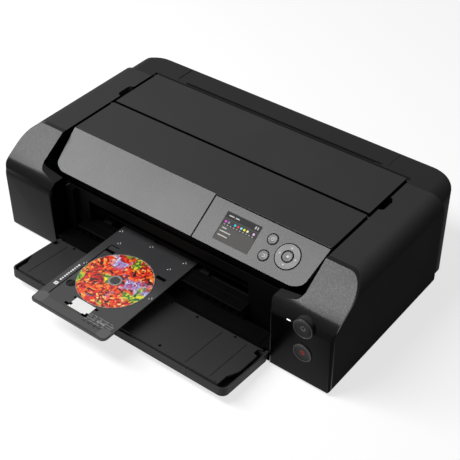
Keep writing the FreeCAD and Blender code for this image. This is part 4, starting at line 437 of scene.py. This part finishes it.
def shown_finishes():
    """Finishes of the slots that the closed printer shows."""
    return {
        "cover_black": cover_finish("cover_black", COVER_SHADE),
        "panel_silver": Finish("panel_silver", (0.010, 0.010, 0.0102), 0.27, 0.243)
                        .fleck(0.0009, 0.35, 2.2).smudge(10, 0.015).grain(0.0009, 0.00003),
        "base_black": Finish("base_black", grey(0.002), 0.5, 0.035).mottle(30, 0.1)
                      .smudge(20, 0.06).grain(0.0012, 0.00006),
        "output_grey": Finish("output_grey", (0.024, 0.024, 0.0245), 0.5, 0.22).mottle(12, 0.05)
                       .smudge(16, 0.05).grain(0.0010, 0.00006),
        "tray_grey": Finish("tray_grey", (0.040, 0.040, 0.042), 0.27, 0.40).mottle(15, 0.05)
                     .smudge(20, 0.05).grain(0.0010, 0.00004),
        "patch_white": Finish("patch_white", (0.80, 0.80, 0.79), 0.4, 0.4).mottle(60, 0.03)
                       .grain(0.001, 0.00002),
        "disc_print": disc_finish(),
        "key_black": Finish("key_black", (0.030, 0.030, 0.031), 0.34, 0.45).fleck(0.0009, 0.3, 1.8)
                     .smudge(60, 0.02).grain(0.0009, 0.00002),
        "key_silver": Finish("key_silver", (0.013, 0.013, 0.0131), 0.30, 0.16).fleck(0.0009, 0.3, 1.6)
                      .smudge(60, 0.03).grain(0.0009, 0.00003),
        "display_clear": Finish("display_clear", (0.012, 0.012, 0.013), 0.40, 0.06).mottle(30, 0.05)
                         .smudge(25, 0.02),
        "lamp_white": Finish("lamp_white", (0.85, 0.85, 0.88), 0.3).mottle(90, 0.03)
                      .grain(0.001, 0.00002).glow((1.0, 1.0, 1.0), 0.8),
        "socket_black": Finish("socket_black", grey(0.012), 0.5).mottle(60, 0.1).grain(0.0009, 0.00004),
        "socket_metal": metal_finish("socket_metal", (0.55, 0.55, 0.56), 0.3, 90, 0.05, 80, 0.06),
        "screw_steel": metal_finish("screw_steel", (0.30, 0.30, 0.31), 0.35, 200, 0.06, 90, 0.05),
        "soft_rubber": Finish("soft_rubber", grey(0.02), 0.75, 0.3).mottle(80, 0.1).grain(0.0008, 0.00006),
    }


def inner_finishes():
    """Finishes of the slots inside the printer."""
    return {
        "display_body": Finish("display_body", (0.05, 0.06, 0.10), 0.4).mottle(40, 0.05)
                        .grain(0.001, 0.00003),
        "board_green": Finish("board_green", (0.03, 0.16, 0.07), 0.45).mottle(90, 0.15).smudge(30, 0.05),
        "plate_steel": metal_finish("plate_steel", (0.52, 0.53, 0.55), 0.38, 60, 0.06, 40, 0.08),
        "shaft_steel": metal_finish("shaft_steel", (0.10, 0.10, 0.105), 0.30, 80, 0.05, 70, 0.06),
        "motor_steel": metal_finish("motor_steel", grey(0.50), 0.35, 60, 0.05, 50, 0.06),
        "head_steel": metal_finish("head_steel", (0.45, 0.42, 0.35), 0.3, 60, 0.05, 60, 0.05),
        "gear_white": Finish("gear_white", (0.80, 0.79, 0.74), 0.5).mottle(60, 0.04).grain(0.0008, 0.00003),
        "belt_rubber": Finish("belt_rubber", grey(0.03), 0.7, 0.3).mottle(80, 0.1).grain(0.0008, 0.00006),
        "strip_clear": Finish("strip_clear", (0.55, 0.56, 0.56), 0.2, 0.5).mottle(90, 0.04)
                       .smudge(60, 0.03),
        "carriage_black": Finish("carriage_black", grey(0.006), 0.5, 0.12).mottle(30, 0.08)
                          .smudge(30, 0.05).grain(0.001, 0.00005),
        "ink_grey": Finish("ink_grey", (0.08, 0.08, 0.09), 0.3, 0.5).mottle(40, 0.06).smudge(30, 0.04),
        "supply_case": Finish("supply_case", grey(0.04), 0.5, 0.4).mottle(40, 0.06).grain(0.001, 0.00004),
    }


def ink_finishes():
    """Inks of the printed marks and of the display's page."""
    inks = {"mark_white": grey(0.75), "mark_grey": grey(0.28), "mark_red": (0.55, 0.06, 0.04),
            "page_grey": (0.105, 0.102, 0.098), "page_dark": (0.040, 0.040, 0.042),
            "page_mid": grey(0.060), "page_light": (0.55, 0.55, 0.53),
            "dot_magenta": (0.75, 0.09, 0.72), "dot_grey": grey(0.30), "dot_cyan": (0.03, 0.65, 0.85),
            "dot_red": (0.80, 0.06, 0.05), "dot_pale_cyan": (0.25, 0.75, 0.85),
            "dot_yellow": (0.85, 0.75, 0.06), "dot_cream": (0.88, 0.84, 0.45),
            "dot_pink": (0.88, 0.55, 0.85)}
    return {name: mark_finish(name, colour) for name, colour in inks.items()}


def node_finishes():
    """Finishes of nodes that differ from their slot's, under the nodes' names."""
    # Painted shade: near-black on the upright walls of the top cover and rear tray cover, so their gaps look
    # dark.
    cover = cover_finish("cover_gap_shade", COVER_SHADE).walls(GAP_WALL_SHADE)
    # Painted shade: near-black on the side covers' walls that face the channel between them.
    side = cover_finish("side_channel_shade", 0.046, 0.001).walls(CHANNEL_WALL_SHADE, CHANNEL_REACH)
    # Painted shade in the gap behind the rear tray cover and in the seam at the rear strip's left end.
    rear = (cover_finish("rear_black", 0.029).zone(grey(0.012), GAP_SHADE_LOW, GAP_SHADE_HIGH)
            .zone(grey(0.002), SEAM_SHADE_LOW, SEAM_SHADE_HIGH))
    # Painted shade: the towers' upright fronts get a darker base colour than their chamfers.
    tower = (Finish("tower_silver", (0.0150, 0.0150, 0.0151), 0.25, 0.5, 1.0).fleck(0.0009, 0.3, 1.6)
             .smudge(10, 0.015).walls(grey(0.0030), low=0.05, high=0.80).grain(0.0009, 0.00002))
    roller = Finish("roller_dark", grey(0.004), 0.6, 0.04).mottle(80, 0.1)
    return {"top_cover": cover, "rear_tray_cover": cover, "left_side_cover": side, "right_side_cover": side,
            "rear_housing": rear, "rear_strip": rear, "left_tower_cover": tower, "right_tower_cover": tower,
            "eject_roller": roller, "star_wheels": roller, "pinch_rollers": roller}


def trim_finishes():
    """Finishes that only the added details use."""
    return {
        # Real raised rims, in a lighter colour that paints their highlight.
        "key_rim_highlight": Finish("key_rim_highlight", (0.075, 0.075, 0.076), 0.22, 0.5).mottle(90, 0.05),
        "tray_tab": Finish("tray_tab", (0.085, 0.085, 0.087), 0.35, 0.35).mottle(15, 0.05),
        "tray_band": Finish("tray_band", (0.056, 0.056, 0.058), 0.30, 0.38).mottle(15, 0.05),
        # Near-black for painted shade in gaps, grooves and slots, and ink of the tray square's printed sign.
        "gap_shade_and_ink_black": Finish("gap_shade_and_ink_black", grey(0.0015), 0.85, 0.01).mottle(80, 0.1),
        "disc_clear": Finish("disc_clear", grey(0.22), 0.25, 0.5).mottle(90, 0.05),
    }


def make_finishes():
    """Material of every slot, node and detail, by name."""
    made = {**shown_finishes(), **inner_finishes(), **ink_finishes(), **node_finishes(), **trim_finishes()}
    return {name: finish.material for name, finish in made.items()}


def smooth_by_angle():
    """Node group that shades a mesh smooth except across its sharp edges."""
    group = bpy.data.node_groups.new("smooth_by_angle", "GeometryNodeTree")
    group.interface.new_socket("Geometry", in_out="INPUT", socket_type="NodeSocketGeometry")
    group.interface.new_socket("Geometry", in_out="OUTPUT", socket_type="NodeSocketGeometry")
    entry = group.nodes.new("NodeGroupInput")
    result = group.nodes.new("NodeGroupOutput")
    faces = group.nodes.new("GeometryNodeSetShadeSmooth")
    edges = group.nodes.new("GeometryNodeSetShadeSmooth")
    edges.domain = "EDGE"
    edges.inputs["Shade Smooth"].default_value = False
    angle = group.nodes.new("GeometryNodeInputMeshEdgeAngle")
    sharp = group.nodes.new("FunctionNodeCompare")
    sharp.operation = "GREATER_THAN"
    sharp.inputs[1].default_value = math.radians(SHARP_DEG)
    group.links.new(entry.outputs[0], faces.inputs["Geometry"])
    group.links.new(faces.outputs["Geometry"], edges.inputs["Geometry"])
    group.links.new(angle.outputs["Unsigned Angle"], sharp.inputs[0])
    group.links.new(sharp.outputs["Result"], edges.inputs["Selection"])
    group.links.new(edges.outputs["Geometry"], result.inputs[0])
    return group


WELD_REACH = 0.01 * MM
EDGE_ROUND = 0.3 * MM


def smooth(piece, group):
    """Weld the facets and shade the piece smooth between its sharp edges."""
    piece.modifiers.new("weld", "WELD").merge_threshold = WELD_REACH
    piece.modifiers.new("smooth", "NODES").node_group = group


def soften(piece, group):
    """Smooth the piece, round its sharp edges a little and keep flat faces flat."""
    smooth(piece, group)
    bevel = piece.modifiers.new("edge", "BEVEL")
    bevel.width = EDGE_ROUND
    bevel.segments = 2
    bevel.limit_method = "ANGLE"
    bevel.angle_limit = math.radians(SHARP_DEG)
    bevel.use_clamp_overlap = True
    normals = piece.modifiers.new("normals", "WEIGHTED_NORMAL")
    normals.mode = "FACE_AREA"
    normals.weight = 100
    normals.keep_sharp = True


def dress_nodes(finishes, group):
    """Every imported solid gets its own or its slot's finish, smooth curved faces and a fine edge radius."""
    slots = {row["node"]: row["material_slot"] for row in frame["record"]["subparts"]}
    for name, node in frame["nodes"].items():
        node.data.materials.clear()
        node.data.materials.append(finishes.get(name) or finishes[slots[name]])
        soften(node, group)


# --- Copies of nodes with another shape ---------------------------------------------------------

def welded_form(node):
    """A node's mesh, with its facets joined at their corners."""
    form = bmesh.new()
    form.from_mesh(frame["nodes"][node].data)
    bmesh.ops.remove_doubles(form, verts=form.verts[:], dist=WELD_REACH)
    return form


def replace_node(node, name, form, finish, body):
    """Piece with this form that takes a node's place."""
    mesh = bpy.data.meshes.new(name)
    form.to_mesh(mesh)
    form.free()
    piece = bpy.data.objects.new(name, mesh)
    bpy.context.scene.collection.objects.link(piece)
    piece.data.materials.append(finish)
    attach(piece, body)
    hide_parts(node)
    return piece


# --- Rounder panel corners ----------------------------------------------------------------------
TOE_Y = PANEL_LOW.y                     # front of the cover's lip
TOE_ROUND = 27.0 * MM                   # plan radius of the cover's and the panels' front corners
TOE_NEAR = 1.3 * TOE_ROUND              # faces this near a corner are cut for it
TOE_CUTS = 9                            # steps of the corner's quarter circle
LIP_ROUND = 20.0 * MM                   # lower corners of the lip, seen from the front
FOLD_DROP = 4.0 * MM                    # top of the cover's slanted sides below its top
SKIN = 8.0 * MM                         # what lies nearer the slope than this stays on it


def slope_height(y):
    """Height of the slope at this depth."""
    return CREASE.z - (CREASE.y - y) * math.tan(SLOPE)


def cut_corner(form, end):
    """Cut the faces near a front corner along rays from the middle of its arc."""
    middle = Vector((end * (TOE_HALF - TOE_ROUND), TOE_Y + TOE_ROUND, 0))
    inner, back = TOE_HALF - TOE_NEAR, TOE_Y + TOE_NEAR
    for step in range(1, TOE_CUTS):
        angle = math.radians(90 * step / TOE_CUTS)
        across = Vector((end * math.cos(angle), math.sin(angle), 0))
        near = [face for face in form.faces
                if any(v.co.x * end > inner and v.co.y < back for v in face.verts)]
        edges = list({edge for face in near for edge in face.edges})
        verts = list({vert for face in near for vert in face.verts})
        bmesh.ops.bisect_plane(form, geom=near + edges + verts, plane_co=middle, plane_no=across)


def round_toe(form, shell):
    """Round the front corners in plan; a shell keeps its wall and gets a rounded lip."""
    cover_low, cover_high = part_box("top_cover")
    fold = cover_high.z - FOLD_DROP

    def side(z):
        """Half width of the cover at this height."""
        rise = min(max((z - cover_low.z) / (fold - cover_low.z), 0), 1)
        edge = TOE_HALF + (cover_high.x - TOE_HALF) * rise
        below = cover_low.z + LIP_ROUND - z
        if 0 < below <= LIP_ROUND and shell:
            edge -= LIP_ROUND - math.sqrt(LIP_ROUND ** 2 - below ** 2)
        return edge

    for end in (-1, 1):
        cut_corner(form, end)
    for vert in form.verts:
        end = 1 if vert.co.x > 0 else -1
        from_side = side(vert.co.z) - abs(vert.co.x)
        from_front = vert.co.y - TOE_Y
        if not (from_side < TOE_ROUND and from_front < TOE_ROUND):
            continue
        depth = max(min(from_side, from_front), 0) if shell else 0
        across, along = TOE_ROUND - from_side, TOE_ROUND - from_front
        reach = math.hypot(across, along)
        if reach <= TOE_ROUND - depth:
            continue
        scale = (TOE_ROUND - depth) / reach
        drop = slope_height(vert.co.y) - vert.co.z
        vert.co.x = end * (side(vert.co.z) - TOE_ROUND + across * scale)
        vert.co.y = TOE_Y + TOE_ROUND - along * scale
        if drop < SKIN:
            vert.co.z = slope_height(vert.co.y) - drop


def rounded_panels(finishes, group):
    """The cover and its two sloped panels, with the rounder front corners."""
    for node, slot, shell in (("top_cover", "cover_black", True), ("slope_panel", "panel_silver", False),
                              ("control_panel", "panel_silver", False)):
        form = welded_form(node)
        round_toe(form, shell)
        finish = finishes.get(node) or finishes[slot]
        soften(replace_node(node, node + "_rounded", form, finish, "top_cover"), group)


# --- Softer tower folds -------------------------------------------------------------------------
FOLD_ROUND = 20.0 * MM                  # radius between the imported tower's front and chamfer
SOFT_ROUND = 38.0 * MM                  # radius of the same fold here
SOFT_CUTS = 12                          # steps of its arc
TOWER_TOE = 121.386 * MM                # height at which the front and the chamfer would meet
FOLD_TURN = math.pi / 2 - SLOPE         # angle between the front and the chamfer


def fold_centre(radius):
    """Centre (Y, Z) of an arc that touches the tower's front and its chamfer."""
    return TOWER_LOW.y + radius, TOWER_TOE - radius * math.tan(FOLD_TURN / 2)


def fold_depth(y, z):
    """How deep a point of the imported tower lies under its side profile."""
    front = y - TOWER_LOW.y
    chamfer = (y - TOWER_LOW.y) * math.sin(SLOPE) - (z - TOWER_TOE) * math.cos(SLOPE)
    middle_y, middle_z = fold_centre(FOLD_ROUND)
    if 0 < math.atan2(z - middle_z, middle_y - y) < FOLD_TURN:
        return FOLD_ROUND - math.hypot(y - middle_y, z - middle_z)
    return min(front, chamfer)


def soften_fold(form):
    """Give a tower's fold the larger radius, and keep the wall behind it."""
    middle_y, middle_z = fold_centre(SOFT_ROUND)
    for step in range(1, SOFT_CUTS):
        height = middle_z + SOFT_ROUND * math.sin(FOLD_TURN * step / SOFT_CUTS)
        bmesh.ops.bisect_plane(form, geom=form.verts[:] + form.edges[:] + form.faces[:],
                               plane_co=(0, 0, height), plane_no=(0, 0, 1))
    for vert in form.verts:
        radius = SOFT_ROUND - max(fold_depth(vert.co.y, vert.co.z), 0)
        rise = vert.co.z - middle_z
        if radius > 0 and 0 < rise < radius * math.cos(SLOPE):
            vert.co.y = max(vert.co.y, middle_y - math.sqrt(radius ** 2 - rise ** 2))


def soft_towers(finishes, group):
    """Both tower fronts, with the softer fold."""
    for node in ("left_tower_cover", "right_tower_cover"):
        form = welded_form(node)
        soften_fold(form)
        smooth(replace_node(node, node + "_soft", form, finishes[node], "case"), group)


# --- Mesh pieces --------------------------------------------------------------------------------

def finish_piece(name, form, finish, body):
    """Object from a bmesh, riding on a body."""
    bmesh.ops.remove_doubles(form, verts=form.verts[:], dist=1e-7)
    bmesh.ops.recalc_face_normals(form, faces=form.faces[:])
    mesh = bpy.data.meshes.new(name)
    form.to_mesh(mesh)
    form.free()
    mesh.materials.append(finish)
    piece = bpy.data.objects.new(name, mesh)
    bpy.context.scene.collection.objects.link(piece)
    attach(piece, body)
    return piece


def surface(origin, right, up, off):
    """Function that puts (a, b, rise) in millimetres on a flat face."""
    return lambda a, b, rise: origin + (right * a + up * b + off * rise) * MM


def plates(name, outlines, place, low, high, finish, body):
    """Thin plates with these (a, b) outlines, between two rises over a face."""
    form = bmesh.new()
    for outline in outlines:
        under = [form.verts.new(place(a, b, low)) for a, b in outline]
        over = [form.verts.new(place(a, b, high)) for a, b in outline]
        form.faces.new(over)
        form.faces.new(under[::-1])
        for i in range(len(outline)):
            j = (i + 1) % len(outline)
            form.faces.new((under[i], under[j], over[j], over[i]))
    return finish_piece(name, form, finish, body)


def lathe(name, profile, place, finish, body, steps=72):
    """Solid turned from an (r, rise) profile that starts and ends on the axis or closes on itself."""
    form = bmesh.new()
    turn = [2 * math.pi * i / steps for i in range(steps)]
    rings = []
    for radius, rise in profile:
        if radius == 0:
            rings.append([form.verts.new(place(0, 0, rise))] * steps)
            continue
        rings.append([form.verts.new(place(radius * math.cos(t), radius * math.sin(t), rise))
                      for t in turn])
    pairs = list(zip(rings, rings[1:]))
    if profile[0][0] != 0:
        pairs.append((rings[-1], rings[0]))
    for low_ring, high_ring in pairs:
        for i in range(steps):
            j = (i + 1) % steps
            corners = []
            for vert in (low_ring[i], low_ring[j], high_ring[j], high_ring[i]):
                if vert not in corners:
                    corners.append(vert)
            if len(corners) > 2:
                form.faces.new(corners)
    for face in form.faces:
        face.smooth = True
    return finish_piece(name, form, finish, body)


def rectangle(a, b, width, height, corner=0.0, steps=4):
    """Outline of a rectangle round (a, b), with round corners."""
    if corner == 0:
        return [(a - width / 2, b - height / 2), (a + width / 2, b - height / 2),
                (a + width / 2, b + height / 2), (a - width / 2, b + height / 2)]
    points = []
    for side, end, start in ((1, 1, 0), (-1, 1, 90), (-1, -1, 180), (1, -1, 270)):
        for i in range(steps + 1):
            angle = math.radians(start + 90 * i / steps)
            points.append((a + side * (width / 2 - corner) + corner * math.cos(angle),
                           b + end * (height / 2 - corner) + corner * math.sin(angle)))
    return points


def circle(a, b, radius, steps=24):
    """Outline of a disc, or of a triangle where steps is three."""
    turn = [2 * math.pi * i / steps for i in range(steps)]
    return [(a + radius * math.cos(t), b + radius * math.sin(t)) for t in turn]


def arc_band(a, b, radius, width, start_deg, end_deg, steps=24):
    """Outline of a bent band."""
    turn = [math.radians(start_deg + (end_deg - start_deg) * i / steps) for i in range(steps + 1)]
    far, near = radius + width / 2, radius - width / 2
    outer = [(a + far * math.cos(t), b + far * math.sin(t)) for t in turn]
    inner = [(a + near * math.cos(t), b + near * math.sin(t)) for t in turn]
    return outer + inner[::-1]


# --- Places for details -------------------------------------------------------------------------

def slope_face(node):
    """Face of the control panel, centred on one of its pieces."""
    low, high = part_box(node)
    middle = (low + high) / 2
    on_face = middle - OFF_SLOPE * (middle - CREASE).dot(OFF_SLOPE)
    return surface(on_face, ACROSS, UP_SLOPE, OFF_SLOPE)


def tower_face(node):
    """Front of the right tower, centred on one of its keys."""
    low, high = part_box(node)
    middle = (low + high) / 2
    return surface(Vector((middle.x, TOWER_LOW.y, middle.z)), ACROSS, UP, -TO_BACK)


def tray_face(x, y):
    """Top of the disc tray."""
    return surface(Vector((x, y, TRAY_TOP)), ACROSS, TO_BACK, UP)


# --- Details ------------------------------------------------------------------------------------
# Sizes and rises of the details are in millimetres.
INK_RISE = 0.04             # thickness of a printed mark
DISH_LOW = 0.60             # the round keys' dished caps lie between these rises where symbols are
DISH_HIGH = 0.75
FINE = 96                   # facets round the large keys and grooves
RIM_FINE = 128              # facets round the disc's rim
LEVEL_COLOURS = ("magenta", "grey", None, "cyan", "red", "pale_cyan", "yellow", "cream", None, "pink")
PAGE_FOOT = -0.08           # rise of the display's page against the panel's face
SEAM_WIDTH = 2.4
SEAM_START = 0.4            # keeps the seam under the crease's height
TRAY_X, TRAY_Y = TRAY_LOW.x / MM, TRAY_LOW.y / MM
MARKS_X = TRAY_X + 8.5      # printed marks at the tray's left edge
GROOVE_X = TRAY_X + 15.5    # groove beside them
TRAY_FOOT = -0.1            # how far marks reach into the tray


def key_caps(finishes):
    """Dished caps of the three round keys on the control panel."""
    for node, radius in (("menu_key", 7.8), ("back_key", 7.8), ("ok_key", 8.0)):
        profile = [(0, 0.30), (radius - 0.2, 0.30), (radius - 0.35, 0.75), (radius - 1.0, 1.0),
                   (radius - 2.2, 0.95), (radius * 0.45, 0.62), (0, 0.55)]
        lathe(node + "_cap", profile, slope_face(node), finishes["key_black"], node)


def key_symbols(finishes):
    """Printed symbols of the three round keys."""
    menu = [arc_band(0, -0.4, 2.2, 0.6, 20, 340), rectangle(0, 2.2, 0.7, 1.6)]
    back = [arc_band(0.2, 0, 2.0, 0.6, -120, 100), rectangle(-0.9, 2.0, 1.8, 0.6),
            rectangle(-0.9, -2.0, 1.6, 0.6)]
    for node, shapes in (("menu_key", menu), ("back_key", back), ("ok_key", [circle(0, 0, 1.7)])):
        plates(node + "_symbol", shapes, slope_face(node), DISH_LOW, DISH_HIGH + INK_RISE,
               finishes["mark_white"], node)


def ring_cap(finishes):
    """Flat cap of the four-way ring key."""
    profile = [(8.7, 0.30), (19.1, 0.30), (19.1, 0.80), (18.98, 0.90), (18.8, 0.92), (18.6, 0.92),
               (14, 0.92), (9.4, 0.92), (9.2, 0.92), (9.0, 0.90), (8.8, 0.80)]
    lathe("nav_ring_cap", profile, slope_face("nav_ring"), finishes["key_black"],
          "nav_ring", FINE)


def flat_ring(inner, outer, low, high):
    """Profile of a flat ring."""
    return [(inner, low), (outer, low), (outer, high), (inner, high)]


def key_grooves(finishes):
    """Near-black rings in the gaps round the keys on the control panel: painted shade of the gaps."""
    for node, inner, outer in (("menu_key", 8.0, 9.2), ("back_key", 8.0, 9.2), ("nav_ring", 19.5, 20.6)):
        lathe(node + "_groove", flat_ring(inner, outer, -0.1, 0.1), slope_face(node),
              finishes["gap_shade_and_ink_black"], "top_cover", FINE)
    lathe("ok_key_groove", flat_ring(8.7, 9.7, 0.5, 1.0), slope_face("nav_ring"),
          finishes["gap_shade_and_ink_black"], "nav_ring", FINE)


def ring_dots(finishes):
    """Four printed dots on the ring key."""
    turn = (0, math.pi / 2, math.pi, -math.pi / 2)
    dots = [circle(13.4 * math.cos(t), 13.4 * math.sin(t), 1.15) for t in turn]
    plates("nav_dots", dots, slope_face("nav_ring"), 0.5, 0.95 + INK_RISE, finishes["mark_white"],
           "nav_ring")


def panel_keys(finishes):
    """Caps, symbols and gaps of the keys on the control panel."""
    key_caps(finishes)
    key_symbols(finishes)
    ring_cap(finishes)
    key_grooves(finishes)
    ring_dots(finishes)


def tower_caps(finishes):
    """Caps of the power key and the stop key, with raised rims in a lighter colour that paints their
    highlight.
    """
    edge = 16.7
    power = [(0, 0.3), (edge - 0.3, 0.3), (edge - 0.3, 2.6), (edge - 0.8, 3.5), (edge - 1.7, 3.9),
             (edge - 2.8, 3.6), (edge - 3.6, 2.9), (edge * 0.5, 2.4), (0, 2.3)]
    edge = 15.8
    stop = [(0, 0.3), (edge - 0.3, 0.3), (edge - 0.4, 0.9), (edge - 1.0, 1.5), (edge - 1.8, 1.5),
            (edge - 2.8, 0.9), (edge * 0.5, 0.6), (0, 0.5)]
    for node, profile in (("power_key", power), ("stop_key", stop)):
        lathe(node + "_cap", profile, tower_face(node), finishes["key_silver"], node, FINE)
    for node, radius, rise in (("power_key", 15.4, 3.9), ("stop_key", 14.6, 1.5)):
        rim = [(radius - 0.7, rise - 0.4), (radius + 0.3, rise - 0.4), (radius + 0.2, rise + 0.08),
               (radius - 0.2, rise + 0.16), (radius - 0.6, rise + 0.06)]
        lathe(node + "_rim", rim, tower_face(node), finishes["key_rim_highlight"], node, FINE)


def tower_symbols(finishes):
    """Printed symbols of the power key and the stop key."""
    power = [arc_band(0, 0, 3.4, 0.9, 120, 420), rectangle(0, 2.9, 0.9, 3.4)]
    plates("power_symbol", power, tower_face("power_key"), 2.2, 2.5 + INK_RISE, finishes["mark_grey"],
           "power_key")
    stop = [arc_band(0, 0, 3.1, 1.0, 0, 350), circle(0, 0, 1.2, 3)]
    plates("stop_symbol", stop, tower_face("stop_key"), 0.4, 0.65 + INK_RISE, finishes["mark_red"],
           "stop_key")


def display_page(finishes):
    """Generic page on the display: header, a row of level dots and menu lines."""
    low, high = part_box("display_window")
    half_w = (high.x - low.x) / MM / 2
    half_h = (high - low).yz.length / MM / 2
    left = 4 - half_w
    place = slope_face("display_window")

    def page(name, shapes, layer, finish):
        """One ink of the page; higher layers lie over the lower ones."""
        foot = PAGE_FOOT + layer * INK_RISE
        plates(name, shapes, place, foot, foot + INK_RISE, finishes[finish], "top_cover")

    page("page_ground", [rectangle(0, 0, 2 * half_w - 1.0, 2 * half_h - 1.0)], 0, "page_grey")
    page("page_header", [rectangle(0, half_h - 6.3, 2 * half_w - 1.6, 10.0)], 1, "page_dark")
    page("page_band", [rectangle(0, half_h - 17.5, 2 * half_w - 1.6, 10.5)], 1, "page_mid")
    title = [rectangle(left + 6, half_h - 6.3, 9, 1.8), rectangle(left + 16.5, half_h - 6.3, 7, 1.8),
             rectangle(half_w - 9, half_h - 6.3, 2.4, 4.4), rectangle(half_w - 5, half_h - 6.3, 1.8, 4.4)]
    page("page_title", title, 2, "page_light")
    for i, colour in enumerate(LEVEL_COLOURS):
        x = left + 1.5 + 5.6 * i
        page("level_tick_%d" % i, [rectangle(x, half_h - 21.0, 2.6, 1.0)], 2, "page_light")
        if colour:
            page("level_%d" % i, [circle(x, half_h - 16.6, 1.9)], 2, "dot_" + colour)
    lines = [rectangle(left + 5, half_h - 26.5, 8, 1.6), rectangle(left + 9.5, half_h - 32.0, 19, 1.6),
             rectangle(left + 8.5, half_h - 38.5, 17, 1.6)]
    page("page_lines", lines, 1, "page_light")


def tray_mark(name, outlines, finish, high=INK_RISE, low=TRAY_FOOT):
    """Flat marks on the top of the disc tray."""
    plates(name, outlines, tray_face(0, 0), low, high, finish, "disc_tray")


def tray_groove(finishes):
    """Near-black strips for a long groove at the tray's left, with a short one at its back end: painted
    shade of the grooves.
    """
    lines = [rectangle(GROOVE_X, TRAY_Y + 90, 1.9, 146), rectangle(GROOVE_X + 8, TRAY_Y + 163.5, 16, 1.9)]
    tray_mark("tray_groove", lines, finishes["gap_shade_and_ink_black"], low=-0.2)


def patch_slots(finishes):
    """Near-black plates in the slots round the reference plate: painted shade of the slots."""
    left, right = PATCH_LOW.x / MM, PATCH_HIGH.x / MM
    front, back = PATCH_LOW.y / MM, PATCH_HIGH.y / MM
    corners = [rectangle(left - 3.5, front + 3.0, 9, 4.5), rectangle(left + 2.0, front + 5.8, 4, 5.0),
               rectangle(right - 3.5, front - 1.2, 10, 4.0), rectangle(right - 1.5, front + 2.6, 4.5, 5.0),
               rectangle(right + 3.2, back - 2.6, 6.0, 4.0), rectangle(left - 2.2, back - 1.6, 4.5, 4.0)]
    tray_mark("patch_slots", corners, finishes["gap_shade_and_ink_black"], high=0.16)


def tray_scale(finishes):
    """White square with a dark sign, and a row of ticks, at the tray's left edge."""
    tray_mark("tray_square", [rectangle(MARKS_X, TRAY_Y + 48, 6.5, 6.5)], finishes["mark_white"])
    tray_mark("tray_square_sign", [circle(MARKS_X, TRAY_Y + 48, 1.5, 3)], finishes["gap_shade_and_ink_black"],
              high=3 * INK_RISE)
    ticks = [rectangle(MARKS_X, TRAY_Y + 58 + 4.4 * i, 3.2, 2.6 if i % 3 else 3.4) for i in range(10)]
    tray_mark("tray_ticks", ticks, finishes["mark_white"])


def tray_arrows(finishes):
    """Small arrow heads with bent tails."""
    arrows = []
    for x, y in ((11, 106), (143, 106), (21, 172), (123, 172), (3.5, 196), (67, 196), (133, 197.5)):
        arrows.append(circle(TRAY_X + x, TRAY_Y + y, 1.4, 3))
        arrows.append(arc_band(TRAY_X + x + 1, TRAY_Y + y + 1, 3.0, 0.7, 0, 80, 6))
    tray_mark("tray_arrows", arrows, finishes["mark_white"])


def tray_notes(finishes):
    """Short strokes and bows in rows, in place of the small print right of the reference plate."""
    right, front = PATCH_HIGH.x / MM, PATCH_LOW.y / MM
    notes = []
    for row in range(5):
        for i in range(5):
            x, y = right + 10.4 * i, front - 4.3 * row
            length = 3.5 + 2.2 * ((row * 7 + i * 5) % 4)
            notes.append(rectangle(x + 1 + 1.5 * (row % 2), y + 9, length, 0.9))
            notes.append(arc_band(x + 5, y + 7, 1.7, 0.6, 40 * i, 40 * i + 190, 8))
    notes.append(rectangle(right + 27, front + 2, 14, 2.4))
    tray_mark("tray_notes", notes, finishes["mark_grey"])


def tray_slots(finishes):
    """Near-black plates for two slots in the tray, left and right behind the disc's middle: painted shade of
    the slots.
    """
    slots = [rectangle(TRAY_X + 24.2, TRAY_Y + 150.5, 17, 6.2),
             rectangle(TRAY_X + 128.4, TRAY_Y + 150.5, 18, 6.2)]
    tray_mark("tray_slots", slots, finishes["gap_shade_and_ink_black"])


def tray_front(finishes):
    """Paler tabs at the tray's front corners, and a band along its front edge."""
    tabs = [rectangle(TRAY_X + 11.5, TRAY_Y + 14.5, 19, 22, 7),
            rectangle(TRAY_X + 139, TRAY_Y + 12, 19, 18, 6)]
    tray_mark("tray_tabs", tabs, finishes["tray_tab"], high=2 * INK_RISE)
    middle = (TRAY_LOW.x + TRAY_HIGH.x) / MM / 2
    width = (TRAY_HIGH.x - TRAY_LOW.x) / MM - 8
    tray_mark("tray_band", [rectangle(middle, TRAY_Y + 11, width, 15, 6)], finishes["tray_band"])


def disc_rings(finishes):
    """Clear hub ring and clear outer rim of the disc."""
    top = (DISC_HIGH.z - TRAY_TOP) / MM
    place = tray_face(DISC_MIDDLE.x, DISC_MIDDLE.y)
    hub = [(7.6, top - 0.1), (11.2, top - 0.1), (11.2, top + 0.05), (10.6, top + 0.12),
           (9.6, top + 0.05), (8.4, top + 0.12), (7.6, top + 0.04)]
    lathe("disc_hub_ring", hub, place, finishes["disc_clear"], "disc")
    rim = [(58.9, top - 0.1), (59.95, top - 0.1), (59.95, top + 0.02), (59.4, top + 0.06),
           (58.9, top + 0.02)]
    lathe("disc_rim", rim, place, finishes["disc_clear"], "disc", RIM_FINE)


def slope_seams(finishes):
    """Near-black strips in the parting line round the control panel's top and left edge: painted shade of
    the gap.
    """
    length = (PANEL_HIGH - PANEL_LOW).yz.length / MM - 1.2
    left, right = PANEL_LOW.x / MM, PANEL_HIGH.x / MM
    lines = [rectangle(left, (SEAM_START + length) / 2, SEAM_WIDTH, length - SEAM_START),
             rectangle((left + right) / 2, SEAM_START + 1.0, right - left, 2.0)]
    plates("panel_seam", lines, surface(CREASE, ACROSS, -UP_SLOPE, OFF_SLOPE), -0.1, 0.15,
           finishes["gap_shade_and_ink_black"], "top_cover")


make_camera()
make_light()
make_floor()
finishes = make_finishes()
group = smooth_by_angle()
dress_nodes(finishes, group)
rounded_panels(finishes, group)
soft_towers(finishes, group)
panel_keys(finishes)
tower_caps(finishes)
tower_symbols(finishes)
display_page(finishes)
tray_groove(finishes)
patch_slots(finishes)
tray_scale(finishes)
tray_arrows(finishes)
tray_notes(finishes)
tray_slots(finishes)
tray_front(finishes)
disc_rings(finishes)
slope_seams(finishes)
